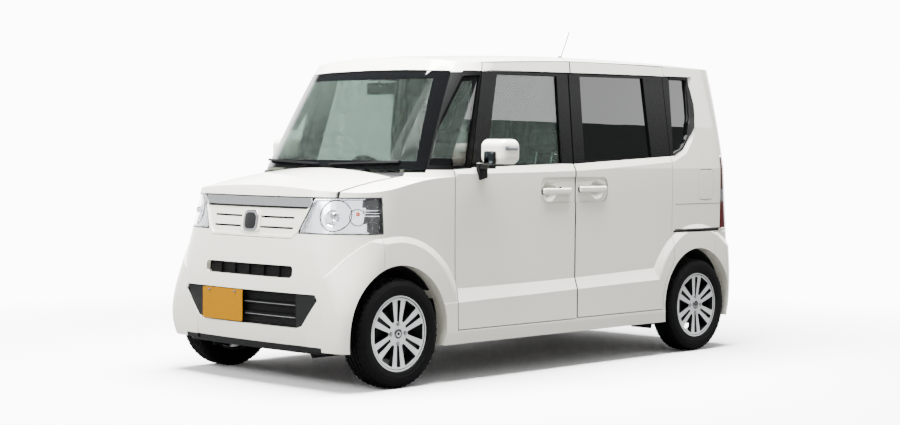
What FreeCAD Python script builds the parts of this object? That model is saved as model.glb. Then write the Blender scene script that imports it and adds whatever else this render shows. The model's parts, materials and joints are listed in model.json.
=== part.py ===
"""A tall kei car with sliding rear doors, as a parametric FreeCAD document.

The frame: +X is the car's left, -Y its front, +Z up. The origin is on the ground, half way
along the car. Lengths are in millimetres.
"""

import FreeCAD, Part, Sketcher
import functools
import math
import os

from FreeCAD import Placement, Rotation, Vector

doc = FreeCAD.newDocument("kei_car")

# ---------------------------------------------------------------------------------------
# Driving dimensions: alias, value in millimetres (degrees where named so)
# ---------------------------------------------------------------------------------------

SIZES = (
    # whole car
    ("overall_length", 3395),
    ("overall_width", 1475),
    ("roof_height", 1773),
    ("front_overhang", 413),
    ("wheelbase", 2520),
    ("track_width", 1305),
    # wheels and running gear
    ("tyre_diameter", 557),
    ("tyre_width", 155),
    ("tyre_shoulder", 26),
    ("tyre_tread_width", 128),
    ("rim_diameter", 378),
    ("rim_width", 132),
    ("rim_wall", 7),
    ("spoke_count", 6),
    ("spoke_groove_width", 26),
    ("spoke_groove_depth", 13),
    ("wheel_window_width", 90),
    ("wheel_face_thickness", 24),
    ("centre_cap_diameter", 54),
    ("wheel_nut_circle", 100),
    ("wheel_nut_count", 4),
    ("wheel_nut_pocket", 23),
    ("hub_face_offset", 66),
    ("disc_diameter", 232),
    ("disc_thickness", 12),
    ("stub_axle_diameter", 46),
    ("kingpin_offset", 70),
    ("kingpin_lean_degrees", 12),
    ("strut_diameter", 42),
    ("arch_radius", 333),
    ("arch_centre_height", 292),
    ("flare_radius", 490),
    ("flare_spread", 105),
    # body shell
    ("door_thickness", 52),
    ("bonnet_thickness", 26),
    ("roof_thickness", 34),
    ("panel_gap", 5),
    ("pillar_gap", 10),
    ("sill_bottom", 196),
    ("ledge_height", 415),
    ("ledge_slope", 72),
    ("window_recess", 16),
    ("glass_thickness", 5),
    ("glass_setback", 9),
    ("floor_bottom", 215),
    ("floor_thickness", 40),
    ("rear_floor_bottom", 470),
    ("cabin_front", 985),
    ("firewall_thickness", 24),
    ("bonnet_half_width", 545),
    ("bonnet_rear", 1180),
    ("front_door_front", 868),
    ("pillar_line", 91),
    ("sliding_door_rear", 988),
    ("door_bottom", 272),
    ("door_top", 1712),
    ("tailgate_half_width", 612),
    ("tailgate_bottom", 640),
    ("tailgate_hinge_line", 1532),
    # inside
    ("seat_cushion_height", 560),
    ("seat_width", 500),
    ("seat_spacing", 640),
    ("steering_wheel_diameter", 365),
    ("steering_rim_thickness", 26),
    ("steering_tilt_degrees", 26),
)

sheet = doc.addObject("Spreadsheet::Sheet", "sizes")
for row, (alias, value) in enumerate(SIZES, start=1):
    sheet.set(f"A{row}", alias)
    sheet.set(f"B{row}", str(value))
    sheet.setAlias(f"B{row}", alias)
doc.recompute()


def size(alias):
    """The value of one named cell, as a float."""
    return float(sheet.get(alias))


HALF_LENGTH = size("overall_length") / 2
HALF_WIDTH = size("overall_width") / 2
FRONT_AXLE = size("front_overhang") - HALF_LENGTH
REAR_AXLE = FRONT_AXLE + size("wheelbase")
HUB_HEIGHT = size("tyre_diameter") / 2
WHEEL_X = size("track_width") / 2
KINGPIN_X = WHEEL_X - size("kingpin_offset")
FAR = 3000.0

# ---------------------------------------------------------------------------------------
# The body's outer form
# ---------------------------------------------------------------------------------------

# Plan sections of the body. height: above the ground; tuck: side skin in from half the
# width; nose, tail: ends in from the bumpers' tips; nose_corner, tail_corner: plan radii;
# nose_bow: plan radius across the nose.
LOWER_PLAN = (
    (150, 50, 46, 50, 240, 185, 6000),
    (350, 26, 4, 6, 180, 165, 6000),
    (600, 23, 7, 12, 240, 145, 4500),
    (850, 22, 34, 36, 325, 143, 3200),
    (1110, 22, 96, 54, 350, 150, 3000),
)
UPPER_PLAN = (
    (1110, 22, 96, 54, 350, 150, 3000),
    (1400, 50, 96, 82, 350, 178, 3000),
    (1800, 86, 96, 136, 350, 255, 3000),
)
# The same for the wheel arches' flares, whose squarer corners fade out upwards.
FLARE_PLAN = (
    (150, 8, 32, 44, 150, 150, 6000),
    (420, 0, 6, 12, 105, 132, 6000),
    (550, 0, 9, 17, 185, 138, 4900),
    (700, 4, 18, 26, 285, 143, 3900),
    (900, 14, 44, 44, 340, 145, 3150),
)
# Plan sections of the cabin's front, where the windscreen and the front pillars bound it.
# height: above the ground; tuck: side skin in; from_centre: the front's distance ahead of
# the car's middle; corner: plan radius.
SCREEN = (
    (850, 0, 1340, 385),
    (1107, 20, 1180, 364),
    (1370, 46, 1018, 342),
    (1620, 64, 852, 322),
    (1860, 80, 672, 300),
)
# Cross sections of the bonnet and wings. station: behind the bumper's tip; crown: height on
# the centre line; wing: height out at WING_REACH.
BONNET = (
    (-60, 985, 850),
    (240, 1062, 935),
    (500, 1106, 1020),
    (800, 1130, 1062),
)
BONNET_FLAT = 500.0
WING_REACH = 800.0
BONNET_CROWN_RADIUS = 3500.0
SCREEN_BOW = 3000.0
TAIL_RADIUS = 6000.0
SIDE_RADIUS = 150000.0
ROOF_CROWN_RADIUS = 4000.0
ROOF_SWEEP_RADIUS = 22000.0
ROOF_PEAK = 800.0


def corner_arc(half_width, end, end_radius, corner_radius, way):
    """Three points of the +X corner between an end arc and a side arc, both tangent to it.

    way is -1 for a corner at the nose and +1 for one at the tail.
    """
    end_centre = Vector(0, end - way * end_radius, 0)
    side_centre = Vector(half_width - SIDE_RADIUS, 0, 0)
    reach_end = end_radius - corner_radius
    reach_side = SIDE_RADIUS - corner_radius
    across = side_centre - end_centre
    span = across.Length
    along = (reach_end ** 2 - reach_side ** 2 + span ** 2) / (2 * span)
    offset = math.sqrt(max(0.0, reach_end ** 2 - along ** 2))
    foot = end_centre + across * (along / span)
    normal = Vector(across.y, -across.x, 0) * (offset / span)
    corner = Vector(half_width - corner_radius, end - way * corner_radius, 0)
    centre = min((foot + normal, foot - normal), key=lambda point: (point - corner).Length)
    end_way = (centre - end_centre).normalize()
    side_way = (centre - side_centre).normalize()
    middle_way = (end_way + side_way).normalize()
    return (end_centre + end_way * end_radius, centre + middle_way * corner_radius,
            side_centre + side_way * SIDE_RADIUS)


def plan_wire(height, half_width, nose, tail, nose_corner, tail_corner, nose_bow, inset=0.0):
    """A closed plan outline of eight tangent arcs, drawn in by inset."""
    half_width -= inset
    nose += inset
    tail -= inset
    nose_points = corner_arc(half_width, nose, nose_bow - inset, max(nose_corner - inset, 15), -1)
    tail_points = corner_arc(half_width, tail, TAIL_RADIUS - inset, max(tail_corner - inset, 15), 1)

    def lift(point, side=1):
        return Vector(side * point.x, point.y, height)

    end_f, mid_f, side_f = nose_points
    end_r, mid_r, side_r = tail_points
    arcs = (
        (lift(end_f, -1), Vector(0, nose, height), lift(end_f)),
        (lift(end_f), lift(mid_f), lift(side_f)),
        (lift(side_f), Vector(half_width, 0, height), lift(side_r)),
        (lift(side_r), lift(mid_r), lift(end_r)),
        (lift(end_r), Vector(0, tail, height), lift(end_r, -1)),
        (lift(end_r, -1), lift(mid_r, -1), lift(side_r, -1)),
        (lift(side_r, -1), Vector(-half_width, 0, height), lift(side_f, -1)),
        (lift(side_f, -1), lift(mid_f, -1), lift(end_f, -1)),
    )
    return Part.Wire([Part.Arc(*arc).toShape() for arc in arcs])


@functools.cache
def side_loft(plan, inset=0.0):
    """The solid between one table of plan sections, drawn in by inset."""
    wires = []
    for height, tuck, nose, tail, nose_corner, tail_corner, nose_bow in plan:
        wires.append(plan_wire(height, HALF_WIDTH - tuck, nose - HALF_LENGTH,
                               HALF_LENGTH - tail, nose_corner, tail_corner, nose_bow, inset))
    return Part.makeLoft(wires, True, False)


@functools.cache
def envelope(inset=0.0):
    """The body's sides, nose and tail as one solid, drawn in by inset."""
    return side_loft(LOWER_PLAN, inset).fuse(side_loft(UPPER_PLAN, inset))


@functools.cache
def screen_block(inset=0.0):
    """Everything behind the windscreen's surface, drawn in by inset."""
    wires = []
    for height, tuck, from_centre, corner in SCREEN:
        wires.append(plan_wire(height, HALF_WIDTH - tuck, -from_centre, HALF_LENGTH + 200,
                               corner, 200, SCREEN_BOW, inset))
    return Part.makeLoft(wires, True, False)


def bonnet_wire(station, crown, wing, inset=0.0):
    """One cross section under the bonnet and wings, down to the ground."""
    y = station - HALF_LENGTH
    crown -= inset
    wing -= inset
    shoulder = crown - BONNET_CROWN_RADIUS + math.sqrt(BONNET_CROWN_RADIUS ** 2 - BONNET_FLAT ** 2)
    middle = (BONNET_FLAT + WING_REACH) / 2
    slope = BONNET_FLAT / BONNET_CROWN_RADIUS
    fall = shoulder - wing - slope * (WING_REACH - BONNET_FLAT)
    middle_height = shoulder - slope * (middle - BONNET_FLAT) - fall / 4
    low = [Vector(side * WING_REACH, y, 0) for side in (-1, 1)]
    outer = [Vector(side * WING_REACH, y, wing) for side in (-1, 1)]
    inner = [Vector(side * BONNET_FLAT, y, shoulder) for side in (-1, 1)]
    mid = [Vector(side * middle, y, middle_height) for side in (-1, 1)]
    return Part.Wire([
        Part.makeLine(low[0], low[1]),
        Part.makeLine(low[1], outer[1]),
        Part.Arc(outer[1], mid[1], inner[1]).toShape(),
        Part.Arc(inner[1], Vector(0, y, crown), inner[0]).toShape(),
        Part.Arc(inner[0], mid[0], outer[0]).toShape(),
        Part.makeLine(outer[0], low[0]),
    ])


@functools.cache
def bonnet_block(inset=0.0):
    """Everything under the bonnet's and wings' surface, carried on back to the tail."""
    wires = [bonnet_wire(*row, inset) for row in BONNET]
    front = Part.makeLoft(wires, True, False)
    rear = Part.Face(wires[-1]).extrude(Vector(0, FAR, 0))
    return front.fuse(rear)


@functools.cache
def roof_block(inset=0.0):
    """Everything under the roof's crowned surface."""
    top = size("roof_height") - inset
    reach = 900.0
    drop = ROOF_CROWN_RADIUS - math.sqrt(ROOF_CROWN_RADIUS ** 2 - reach ** 2)
    edge = [Vector(side * reach, ROOF_PEAK, top - drop) for side in (-1, 1)]
    low = [Vector(side * reach, ROOF_PEAK, 50) for side in (-1, 1)]
    face = Part.Face(Part.Wire([
        Part.Arc(edge[0], Vector(0, ROOF_PEAK, top), edge[1]).toShape(),
        Part.makeLine(edge[1], low[1]),
        Part.makeLine(low[1], low[0]),
        Part.makeLine(low[0], edge[0]),
    ]))
    axis = Vector(0, ROOF_PEAK, top - ROOF_SWEEP_RADIUS)
    face.rotate(axis, Vector(1, 0, 0), 9.0)
    return face.revolve(axis, Vector(1, 0, 0), -18.0)


def box(x0, x1, y0, y1, z0, z1):
    """A block between two corners."""
    return Part.makeBox(x1 - x0, y1 - y0, z1 - z0, Vector(x0, y0, z0))


def rounded_box(x0, x1, y0, y1, z0, z1, radius, along=None):
    """A block whose edges are rounded: all of them, or those that run along one axis."""
    block = box(x0, x1, y0, y1, z0, z1)
    edges = [edge for edge in block.Edges if along is None or abs(edge.tangentAt(0).dot(along)) > 0.99]
    return block.makeFillet(radius, edges)


def side_prism(points, x0, x1, inset=0.0):
    """A prism across the car whose outline is given in (y, z), drawn in by inset."""
    wire = Part.makePolygon([Vector(x0, y, z) for y, z in points] + [Vector(x0, *points[0])])
    face = Part.Face(wire)
    if inset:
        face = face.makeOffset2D(-inset)
    return face.extrude(Vector(x1 - x0, 0, 0))


def mirrored(shape):
    """The shape's twin on the car's other side."""
    return shape.mirror(Vector(0, 0, 0), Vector(1, 0, 0))


def body_block(inset=0.0, top_inset=None):
    """The whole car's outer form as one solid, without the wheel arches."""
    top_inset = inset if top_inset is None else top_inset
    sides = envelope(inset)
    cabin = screen_block(inset).common(roof_block(top_inset))
    return sides.common(bonnet_block(top_inset)).fuse(sides.common(cabin)).removeSplitter()


def feature(label, shape):
    """A sub-part whose shape is made here."""
    piece = doc.addObject("Part::Feature", label)
    piece.Label = label
    piece.Shape = shape
    piece.Placement = shape.Placement
    return piece


# ---------------------------------------------------------------------------------------
# The shell: the outer form less the cabin and the engine bay, cut into its panels
# ---------------------------------------------------------------------------------------

DOOR = size("door_thickness")
FLOOR_TOP = size("floor_bottom") + size("floor_thickness")
FIREWALL_REAR = -size("cabin_front")
FIREWALL_FRONT = FIREWALL_REAR - size("firewall_thickness")
COWL_TOP = 1075.0
COWL_BOTTOM = 1052.0
GAP = size("panel_gap")
BELT = 1110.0
PANEL_REACH = 134.0
FRONT_HOUSE_INNER = 402.0
REAR_HOUSE_INNER = 492.0
HOUSE_WALL = 6.0
SIDES = (("left", 1), ("right", -1))


def front_view_prism(points, y0, y1, inset=0.0):
    """A prism along the car, symmetric in x, whose outline is given in (x, z) for x >= 0."""
    outline = [Vector(x, y0, z) for x, z in points]
    outline += [Vector(-x, y0, z) for x, z in reversed(points) if x > 0]
    face = Part.Face(Part.makePolygon(outline + outline[:1]))
    if inset:
        face = face.makeOffset2D(-inset)
    return face.extrude(Vector(0, y1 - y0, 0))


def across(radius, y, z, x0, x1):
    """A cylinder about an axis across the car."""
    return Part.makeCylinder(radius, x1 - x0, Vector(x0, y, z), Vector(1, 0, 0))


def arch(axle, side, grow=0.0):
    """The opening round a wheel, open downwards."""
    inner = 440 * side
    outer_end = 900 * side
    x0, x1 = min(inner, outer_end), max(inner, outer_end)
    radius = size("arch_radius") + grow
    height = size("arch_centre_height")
    round_part = across(radius, axle, height, x0, x1)
    low = box(x0, x1, axle - radius * 0.955, axle + radius * 0.955, 0, height - radius * 0.29)
    return round_part.fuse(low)


# The flare's half profile about its wheel arch's axis: x inboard of the full width, and the
# radius less the crest's. The arc's middle and end follow its first row.
FLARE_FOOT = ((297, -490), (297, -53), (37, 0))
FLARE_ARC = ((37, 0), (11, -42), (-1, -105))
FLARE_CAP = ((-1, -105), (-20, -160), (-20, -490))


def flare(axle, side):
    """The swelling of the side round a wheel arch, turned about the arch's own axis."""
    crest = size("flare_radius")
    share = size("flare_spread") / 105

    def points(rows):
        return [Vector(HALF_WIDTH - x, crest + rise * (share if rise > -490 else crest / 490), 0)
                for x, rise in rows]

    foot, arc, cap = points(FLARE_FOOT), points(FLARE_ARC), points(FLARE_CAP)
    edges = [Part.makeLine(a, b) for a, b in zip(foot, foot[1:])]
    edges.append(Part.Arc(*arc).toShape())
    edges += [Part.makeLine(a, b) for a, b in zip(cap, cap[1:] + foot[:1])]
    turned = Part.Face(Part.Wire(edges)).revolve(Vector(), Vector(1, 0, 0), 360)
    turned.translate(Vector(0, axle, size("arch_centre_height")))
    return turned if side > 0 else mirrored(turned)


def ledge_block():
    """The doors' lower part, which stands out to the full width below a sloping ledge."""
    wires = []
    for y, rise in ((-1180, -8), (1160, 44)):
        rows = ((size("ledge_height") + size("ledge_slope") + rise, 26),
                (size("ledge_height") + rise, 2),
                (size("sill_bottom") + 60, 2), (size("sill_bottom") - 20, 12))
        half = [Vector(HALF_WIDTH - tuck, y, height) for height, tuck in rows]
        half = [Vector(0, y, half[0].z)] + half + [Vector(0, y, half[-1].z)]
        twin = [Vector(-corner.x, y, corner.z) for corner in reversed(half) if corner.x > 0]
        wires.append(Part.makePolygon(half + twin + half[:1]))
    return Part.makeLoft(wires, True, True)


# The windows' recess in the side: y, z, and how far the band round it spreads, in y and z.
GRAPHIC = (
    (-1180, 1109, 0, -42),
    (100, 1138, 0, -42),
    (1010, 1183, 8, -42),
    (1120, 1224, 24, -36),
    (1190, 1300, 40, -20),
    (1222, 1420, 44, -8),
    (1212, 1662, 44, 6),
    (140, 1646, 0, 6),
    (-820, 1632, 0, 6),
    (-1400, 1600, 0, 6),
)


def window_recess(side):
    """The tapered tool that sinks the windows and their black sashes into the side."""
    depth = size("window_recess")
    reach = 34.0
    skin = HALF_WIDTH - LOWER_PLAN[-1][1]
    wires = []
    for x, spread in ((skin - depth, 0.0), (skin + reach, (depth + reach) / depth)):
        corners = [Vector(x, y + dy * spread, z + dz * spread) for y, z, dy, dz in GRAPHIC]
        wires.append(Part.makePolygon(corners + corners[:1]))
    tool = Part.makeLoft(wires, True, True)
    rise = UPPER_PLAN[-1][0] - UPPER_PLAN[0][0]
    lean = math.degrees(math.atan((UPPER_PLAN[-1][1] - UPPER_PLAN[0][1]) / rise))
    tool.rotate(Vector(skin, 0, BELT), Vector(0, 1, 0), -lean)
    return tool if side > 0 else mirrored(tool)


outer = body_block()
widened = side_loft(FLARE_PLAN).common(bonnet_block())
for name, side in SIDES:
    for axle in (FRONT_AXLE, REAR_AXLE):
        outer = outer.fuse(flare(axle, side).common(widened))
outer = outer.fuse(ledge_block())
for name, side in SIDES:
    for axle in (FRONT_AXLE, REAR_AXLE):
        outer = outer.cut(arch(axle, side))
    outer = outer.cut(window_recess(side))
outer = outer.cut(box(-900, 900, -FAR, FAR, 0, size("sill_bottom")))

cabin_side = envelope(DOOR)
lower_room = box(-800, 800, FIREWALL_REAR, FAR, -10, 1000)
upper_room = cabin_side.common(screen_block(DOOR)).common(roof_block(size("roof_thickness")))
upper_room = upper_room.common(box(-800, 800, FIREWALL_REAR, FAR, 900, FAR).fuse(
    box(-800, 800, -FAR, FIREWALL_REAR, COWL_TOP, FAR)))
cabin_void = cabin_side.common(lower_room).fuse(upper_room)
bay_room = box(-800, 800, -FAR, FIREWALL_FRONT, -10, COWL_BOTTOM)
bay_void = cabin_side.common(bonnet_block(size("bonnet_thickness"))).common(bay_room)
shell = outer.cut(cabin_void).cut(bay_void)

# Panel outlines in the side view, as (y, z).
DOOR_FRONT = -size("front_door_front")
DOOR_BOTTOM = size("door_bottom")
DOOR_TOP = size("door_top")
PILLAR = size("pillar_line")
SLIDING_REAR = size("sliding_door_rear")
FRONT_DOOR = (
    (DOOR_FRONT, DOOR_BOTTOM),
    (DOOR_FRONT - 10, 1106),
    (-742, 1113),
    (-594, DOOR_TOP),
    (PILLAR - size("pillar_gap") / 2, DOOR_TOP),
    (PILLAR - size("pillar_gap") / 2, DOOR_BOTTOM),
)
SLIDING_DOOR = (
    (PILLAR + size("pillar_gap") / 2, DOOR_BOTTOM + 4),
    (PILLAR + size("pillar_gap") / 2, DOOR_TOP),
    (SLIDING_REAR - 40, DOOR_TOP),
    (SLIDING_REAR, 1181),
    (SLIDING_REAR, DOOR_BOTTOM + 4),
)
FRONT_WINDOW = ((-628, 1132), (-10, 1138), (-10, 1625), (-500, 1618))
SLIDING_WINDOW = ((190, 1152), (190, 1632), (768, 1640), (808, 1172))
CORNER_WINDOW = ((-1000, 1130), (-772, 1126), (-630, 1608), (-762, 1602))
QUARTER_WINDOW = ((1022, 1196), (1022, 1644), (1192, 1646), (1196, 1420), (1166, 1300), (1104, 1228))
# Panel outlines in the front view, as (x, z) for the left half.
SCREEN_OPENING = ((0, 1085), (640, 1090), (553, 1632), (300, 1640), (0, 1643))
TAILGATE_HALF = size("tailgate_half_width")
TAILGATE_BOTTOM = size("tailgate_bottom")
TAILGATE = ((0, TAILGATE_BOTTOM), (TAILGATE_HALF - 24, TAILGATE_BOTTOM), (TAILGATE_HALF, 700),
            (TAILGATE_HALF, 1240), (TAILGATE_HALF - 34, 1800), (0, 1800))
REAR_WINDOW = ((0, 1150), (528, 1150), (548, 1180), (520, 1600), (490, 1625), (0, 1630))
GRILLE_OPENING = ((0, 757), (318, 757), (356, 785), (432, 940), (418, 962), (0, 962))
UPPER_INTAKE = ((0, 556), (330, 556), (348, 570), (348, 606), (336, 618), (0, 618))
LOWER_INTAKE = ((0, 306), (376, 306), (420, 320), (530, 455), (512, 482), (0, 482))


def take(shell, region, clearance_region):
    """The part of the shell inside a region, and the shell without it and its gap."""
    return shell.common(region), shell.cut(clearance_region)


def side_region(outline, inset):
    """A panel's region on the car's left side."""
    return side_prism(outline, HALF_WIDTH - PANEL_REACH, 900, inset)


def both_sides(shape):
    """The shape and its twin as one piece of separate solids."""
    return Part.makeCompound([shape, mirrored(shape)])


def largest(shape):
    """The biggest solid of a cut, without the slivers that it left."""
    return max(shape.Solids, key=lambda solid: solid.Volume)


def deeper_than(shape, depth):
    """What of a piece of the nose or tail lies deeper than this under the skin."""
    return shape.common(envelope(depth))


def joined_list(shapes):
    """Several shapes' solids side by side in one piece."""
    return Part.makeCompound([solid for shape in shapes for solid in shape.Solids])


def arch_cylinder(axle, radius):
    """A full-width cylinder about a wheel arch's centre."""
    return across(radius, axle, size("arch_centre_height"), -900, 900)


def wheel_house(axle, side, wall):
    """The room round a wheel inside the body, or with its wall, the solid that holds it."""
    reach = FRONT_HOUSE_INNER if axle < 0 else REAR_HOUSE_INNER
    inner, outer_end = sorted(((reach - wall) * side, 720 * side))
    radius = size("arch_radius") + wall
    height = size("arch_centre_height")
    return across(radius, axle, height, inner, outer_end).fuse(
        box(inner, outer_end, axle - radius, axle + radius, 0, height))


def kingpin_frame(shape, axle):
    """Leans a shape made upright over the left kingpin to the kingpin's own angle."""
    shape.rotate(Vector(KINGPIN_X, axle, HUB_HEIGHT), Vector(0, 1, 0), -size("kingpin_lean_degrees"))
    return shape


pieces = {}
HINGE_LINE = size("tailgate_hinge_line")
tailgate_region = front_view_prism(TAILGATE, 1400, 1900)
tailgate_region = tailgate_region.cut(box(-900, 900, 0, HINGE_LINE + GAP, 1640, FAR))
tailgate_clear = front_view_prism(TAILGATE, 1400, 1900, -GAP)
tailgate_clear = tailgate_clear.cut(box(-900, 900, 0, HINGE_LINE, 1640, FAR))
pieces["tailgate"], shell = take(shell, tailgate_region, tailgate_clear)

BONNET_HALF = size("bonnet_half_width")
NOSE_BOTTOM = 968.0
BONNET_REAR = -size("bonnet_rear")
bonnet_region = box(-BONNET_HALF, BONNET_HALF, -FAR, BONNET_REAR, NOSE_BOTTOM, 1300)
bonnet_clear = box(-BONNET_HALF - GAP, BONNET_HALF + GAP, -FAR, BONNET_REAR + GAP,
                   NOSE_BOTTOM - GAP, 1300)
pieces["bonnet"], shell = take(shell, bonnet_region, bonnet_clear)

# Nose: lamps, grille and bumper, each cut out of the shell's thickness.
LAMP_TOP = NOSE_BOTTOM - GAP
LAMP_BOTTOM = 785.0
LAMP_REAR = -1382.0
LAMP_INNER = ((362, LAMP_BOTTOM), (900, LAMP_BOTTOM), (900, LAMP_TOP + 6), (436, LAMP_TOP))
LAMP_DEPTH = 112.0
LENS = 3.5
LAMP_RIM = 9.0
LAMP_POCKET = 20.0
BOWL_CENTRE = Vector(558, -1625, 876)
BOWL_AXIS = Vector(-0.25, 0.97, 0)
BOWL_RADIUS = 76.0
BOWL_DEPTH = 68.0
BULB_CENTRE = Vector(668, -1520, 868)
BULB_AXIS = Vector(-0.80, 0.60, 0)
BULB_RADIUS = 40.0
BUMPER_REAR = -1398.0
EDGE = 3.0


def lamp_region(inset):
    """The left headlamp's region at its front corner."""
    outline = [Vector(x, -FAR, z) for x, z in LAMP_INNER]
    face = Part.Face(Part.makePolygon(outline + outline[:1])).makeOffset2D(-inset)
    return face.extrude(Vector(0, FAR + LAMP_REAR - inset, 0))


def bowl(centre, direction, radius, depth):
    """A reflector's hollow: a flaring bowl that opens against its axis's direction."""
    arc = Part.Arc(Vector(radius, 0, -30), Vector(radius * 0.86, 0, depth * 0.45),
                   Vector(radius * 0.3, 0, depth)).toShape()
    back = Part.makeLine(Vector(radius * 0.3, 0, depth), Vector(0, 0, depth))
    axis = Part.makeLine(Vector(0, 0, depth), Vector(0, 0, -30))
    mouth = Part.makeLine(Vector(0, 0, -30), Vector(radius, 0, -30))
    hollow = Part.Face(Part.Wire([arc, back, axis, mouth])).revolve(Vector(), Vector(0, 0, 1), 360)
    hollow.Placement = Placement(centre, Rotation(Vector(0, 0, 1), direction))
    return hollow


# The grille's bars between its frame, as heights from and to, and how deep they lie.
GRILLE_BARS = ((757, 802, 9), (812, 855, 9), (865, 906, 9), (917, 962, 3))
GRILLE_FRAME = 11.0
GRILLE_BACK = 30.0
SLOT_REACH = 316.0
EMBLEM_HALF = 76.0
EMBLEM_BOTTOM = 779.0
EMBLEM_TOP = 895.0
EMBLEM_HEIGHT = 4.0
grille_region = front_view_prism(GRILLE_OPENING, -FAR, -1500)
grille_clear = front_view_prism(GRILLE_OPENING, -FAR, -1500, -EDGE)
grille, shell = take(shell, grille_region, grille_clear)
grille_inner = front_view_prism(GRILLE_OPENING, -FAR, -1500, GRILLE_FRAME)
carved = grille.cut(grille_inner.cut(envelope(GRILLE_BACK)))
for low, high, depth in GRILLE_BARS:
    full_width = box(-HALF_WIDTH, HALF_WIDTH, -FAR, 0, low, high)
    carved = carved.fuse(deeper_than(grille.common(full_width), depth))
slot_ends = box(SLOT_REACH, HALF_WIDTH, -FAR, 0, GRILLE_BARS[0][0], GRILLE_BARS[2][1])
for end in (slot_ends, mirrored(slot_ends)):
    carved = carved.fuse(deeper_than(grille.common(end), GRILLE_BARS[0][2]))
emblem_place = rounded_box(-EMBLEM_HALF, EMBLEM_HALF, -FAR, 0, EMBLEM_BOTTOM, EMBLEM_TOP, 36,
                           Vector(0, 1, 0))
pieces["grille"] = carved.fuse(deeper_than(grille.common(emblem_place), EMBLEM_HEIGHT))

lamp = outer.common(lamp_region(0)).cut(grille_clear)
lamp_inside = lamp.common(envelope(LENS)).common(bonnet_block(LENS))
lenses = largest(lamp.cut(lamp_inside))
pocket = lamp_region(LAMP_RIM).cut(envelope(LAMP_POCKET).common(bonnet_block(LAMP_POCKET)))
housing = lamp_inside.cut(envelope(LAMP_DEPTH)).cut(pocket)
housing = housing.cut(bowl(BOWL_CENTRE, BOWL_AXIS, BOWL_RADIUS, BOWL_DEPTH))
housing = largest(housing.cut(bowl(BULB_CENTRE, BULB_AXIS, BULB_RADIUS, BOWL_DEPTH / 2)))
shell = shell.cut(lamp_region(-EDGE)).cut(mirrored(lamp_region(-EDGE)))

# Bumper, with its intakes' inserts set back in them.
UPPER_INSERT = 26.0
LOWER_INSERT = 30.0
WEDGE_FROM = 372.0
WEDGE_DEPTH = 9.0
INSERT_BAR = 7.0
INSERT_BAR_DEPTH = 14.0
UPPER_BARS = (-233, -117, 0, 117, 233)
LOWER_BARS = (362, 420)
bumper_region = box(-900, 900, -FAR, BUMPER_REAR, 0, LAMP_BOTTOM - EDGE)
bumper_clear = box(-900, 900, -FAR, BUMPER_REAR + EDGE, 0, LAMP_BOTTOM)
front_bumper, shell = take(shell, bumper_region, bumper_clear)
upper_fill = front_bumper.common(front_view_prism(UPPER_INTAKE, -FAR, -1500))
lower_fill = front_bumper.common(front_view_prism(LOWER_INTAKE, -FAR, -1500))
upper_insert = deeper_than(upper_fill, UPPER_INSERT)
for x in UPPER_BARS:
    upright = box(x - INSERT_BAR / 2, x + INSERT_BAR / 2, -FAR, 0, 0, FAR)
    upper_insert = upper_insert.fuse(deeper_than(upper_fill.common(upright), INSERT_BAR_DEPTH))
lower_insert = deeper_than(lower_fill, LOWER_INSERT)
for z in LOWER_BARS:
    rail = box(-WEDGE_FROM, WEDGE_FROM, -FAR, 0, z - INSERT_BAR, z + INSERT_BAR)
    lower_insert = lower_insert.fuse(deeper_than(lower_fill.common(rail), INSERT_BAR_DEPTH))
wedge = deeper_than(lower_fill.common(box(WEDGE_FROM, 900, -FAR, 0, 0, FAR)), WEDGE_DEPTH)
lower_insert = lower_insert.fuse([wedge, mirrored(wedge)])
# Black lip along the bumper's bottom edge.
LIP_HALF = 545.0
LIP_REAR = -1560.0
LIP_TOP = 218.0
LIP_BOTTOM = 180.0
LIP_INSET = 6.0
lip_room = box(-LIP_HALF, LIP_HALF, -FAR, LIP_REAR, LIP_BOTTOM, LIP_TOP)
lip_below = envelope(LIP_INSET).cut(envelope(DOOR)).common(lip_room)
lip_below = lip_below.common(box(-LIP_HALF, LIP_HALF, -FAR, LIP_REAR, 0, size("sill_bottom")))
pieces["under_lip"] = largest(front_bumper.common(lip_room).fuse(lip_below))
pieces["front_bumper"] = largest(front_bumper.cut(upper_fill).cut(lower_fill).cut(lip_room))

# Number plate on two bosses of the lower insert, with its bolt holes.
PLATE_CENTRE_X = -189.5
PLATE_LENGTH = 330.0
PLATE_HEIGHT = 165.0
PLATE_BOTTOM = 313.0
PLATE_THICKNESS = 2.0
PLATE_HOLE_SPACING = 210.0
PLATE_HOLE_HEIGHT = 152.0
PLATE_HOLE_RADIUS = 3.5
plate_front = -HALF_LENGTH
plate = rounded_box(PLATE_CENTRE_X - PLATE_LENGTH / 2, PLATE_CENTRE_X + PLATE_LENGTH / 2, plate_front,
                    plate_front + PLATE_THICKNESS, PLATE_BOTTOM, PLATE_BOTTOM + PLATE_HEIGHT, 10,
                    Vector(0, 1, 0))
for way in (-1, 1):
    foot = Vector(PLATE_CENTRE_X + way * PLATE_HOLE_SPACING / 2, plate_front,
                  PLATE_BOTTOM + PLATE_HOLE_HEIGHT)
    boss = Part.makeCylinder(11, 46, foot + Vector(0, PLATE_THICKNESS, 0), Vector(0, 1, 0))
    hole = Part.makeCylinder(PLATE_HOLE_RADIUS, 24, foot, Vector(0, 1, 0))
    lower_insert = lower_insert.fuse(boss).cut(hole)
    plate = plate.cut(hole)
pieces["number_plate"] = plate
pieces["bumper_grilles"] = joined_list([upper_insert, lower_insert])

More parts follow.
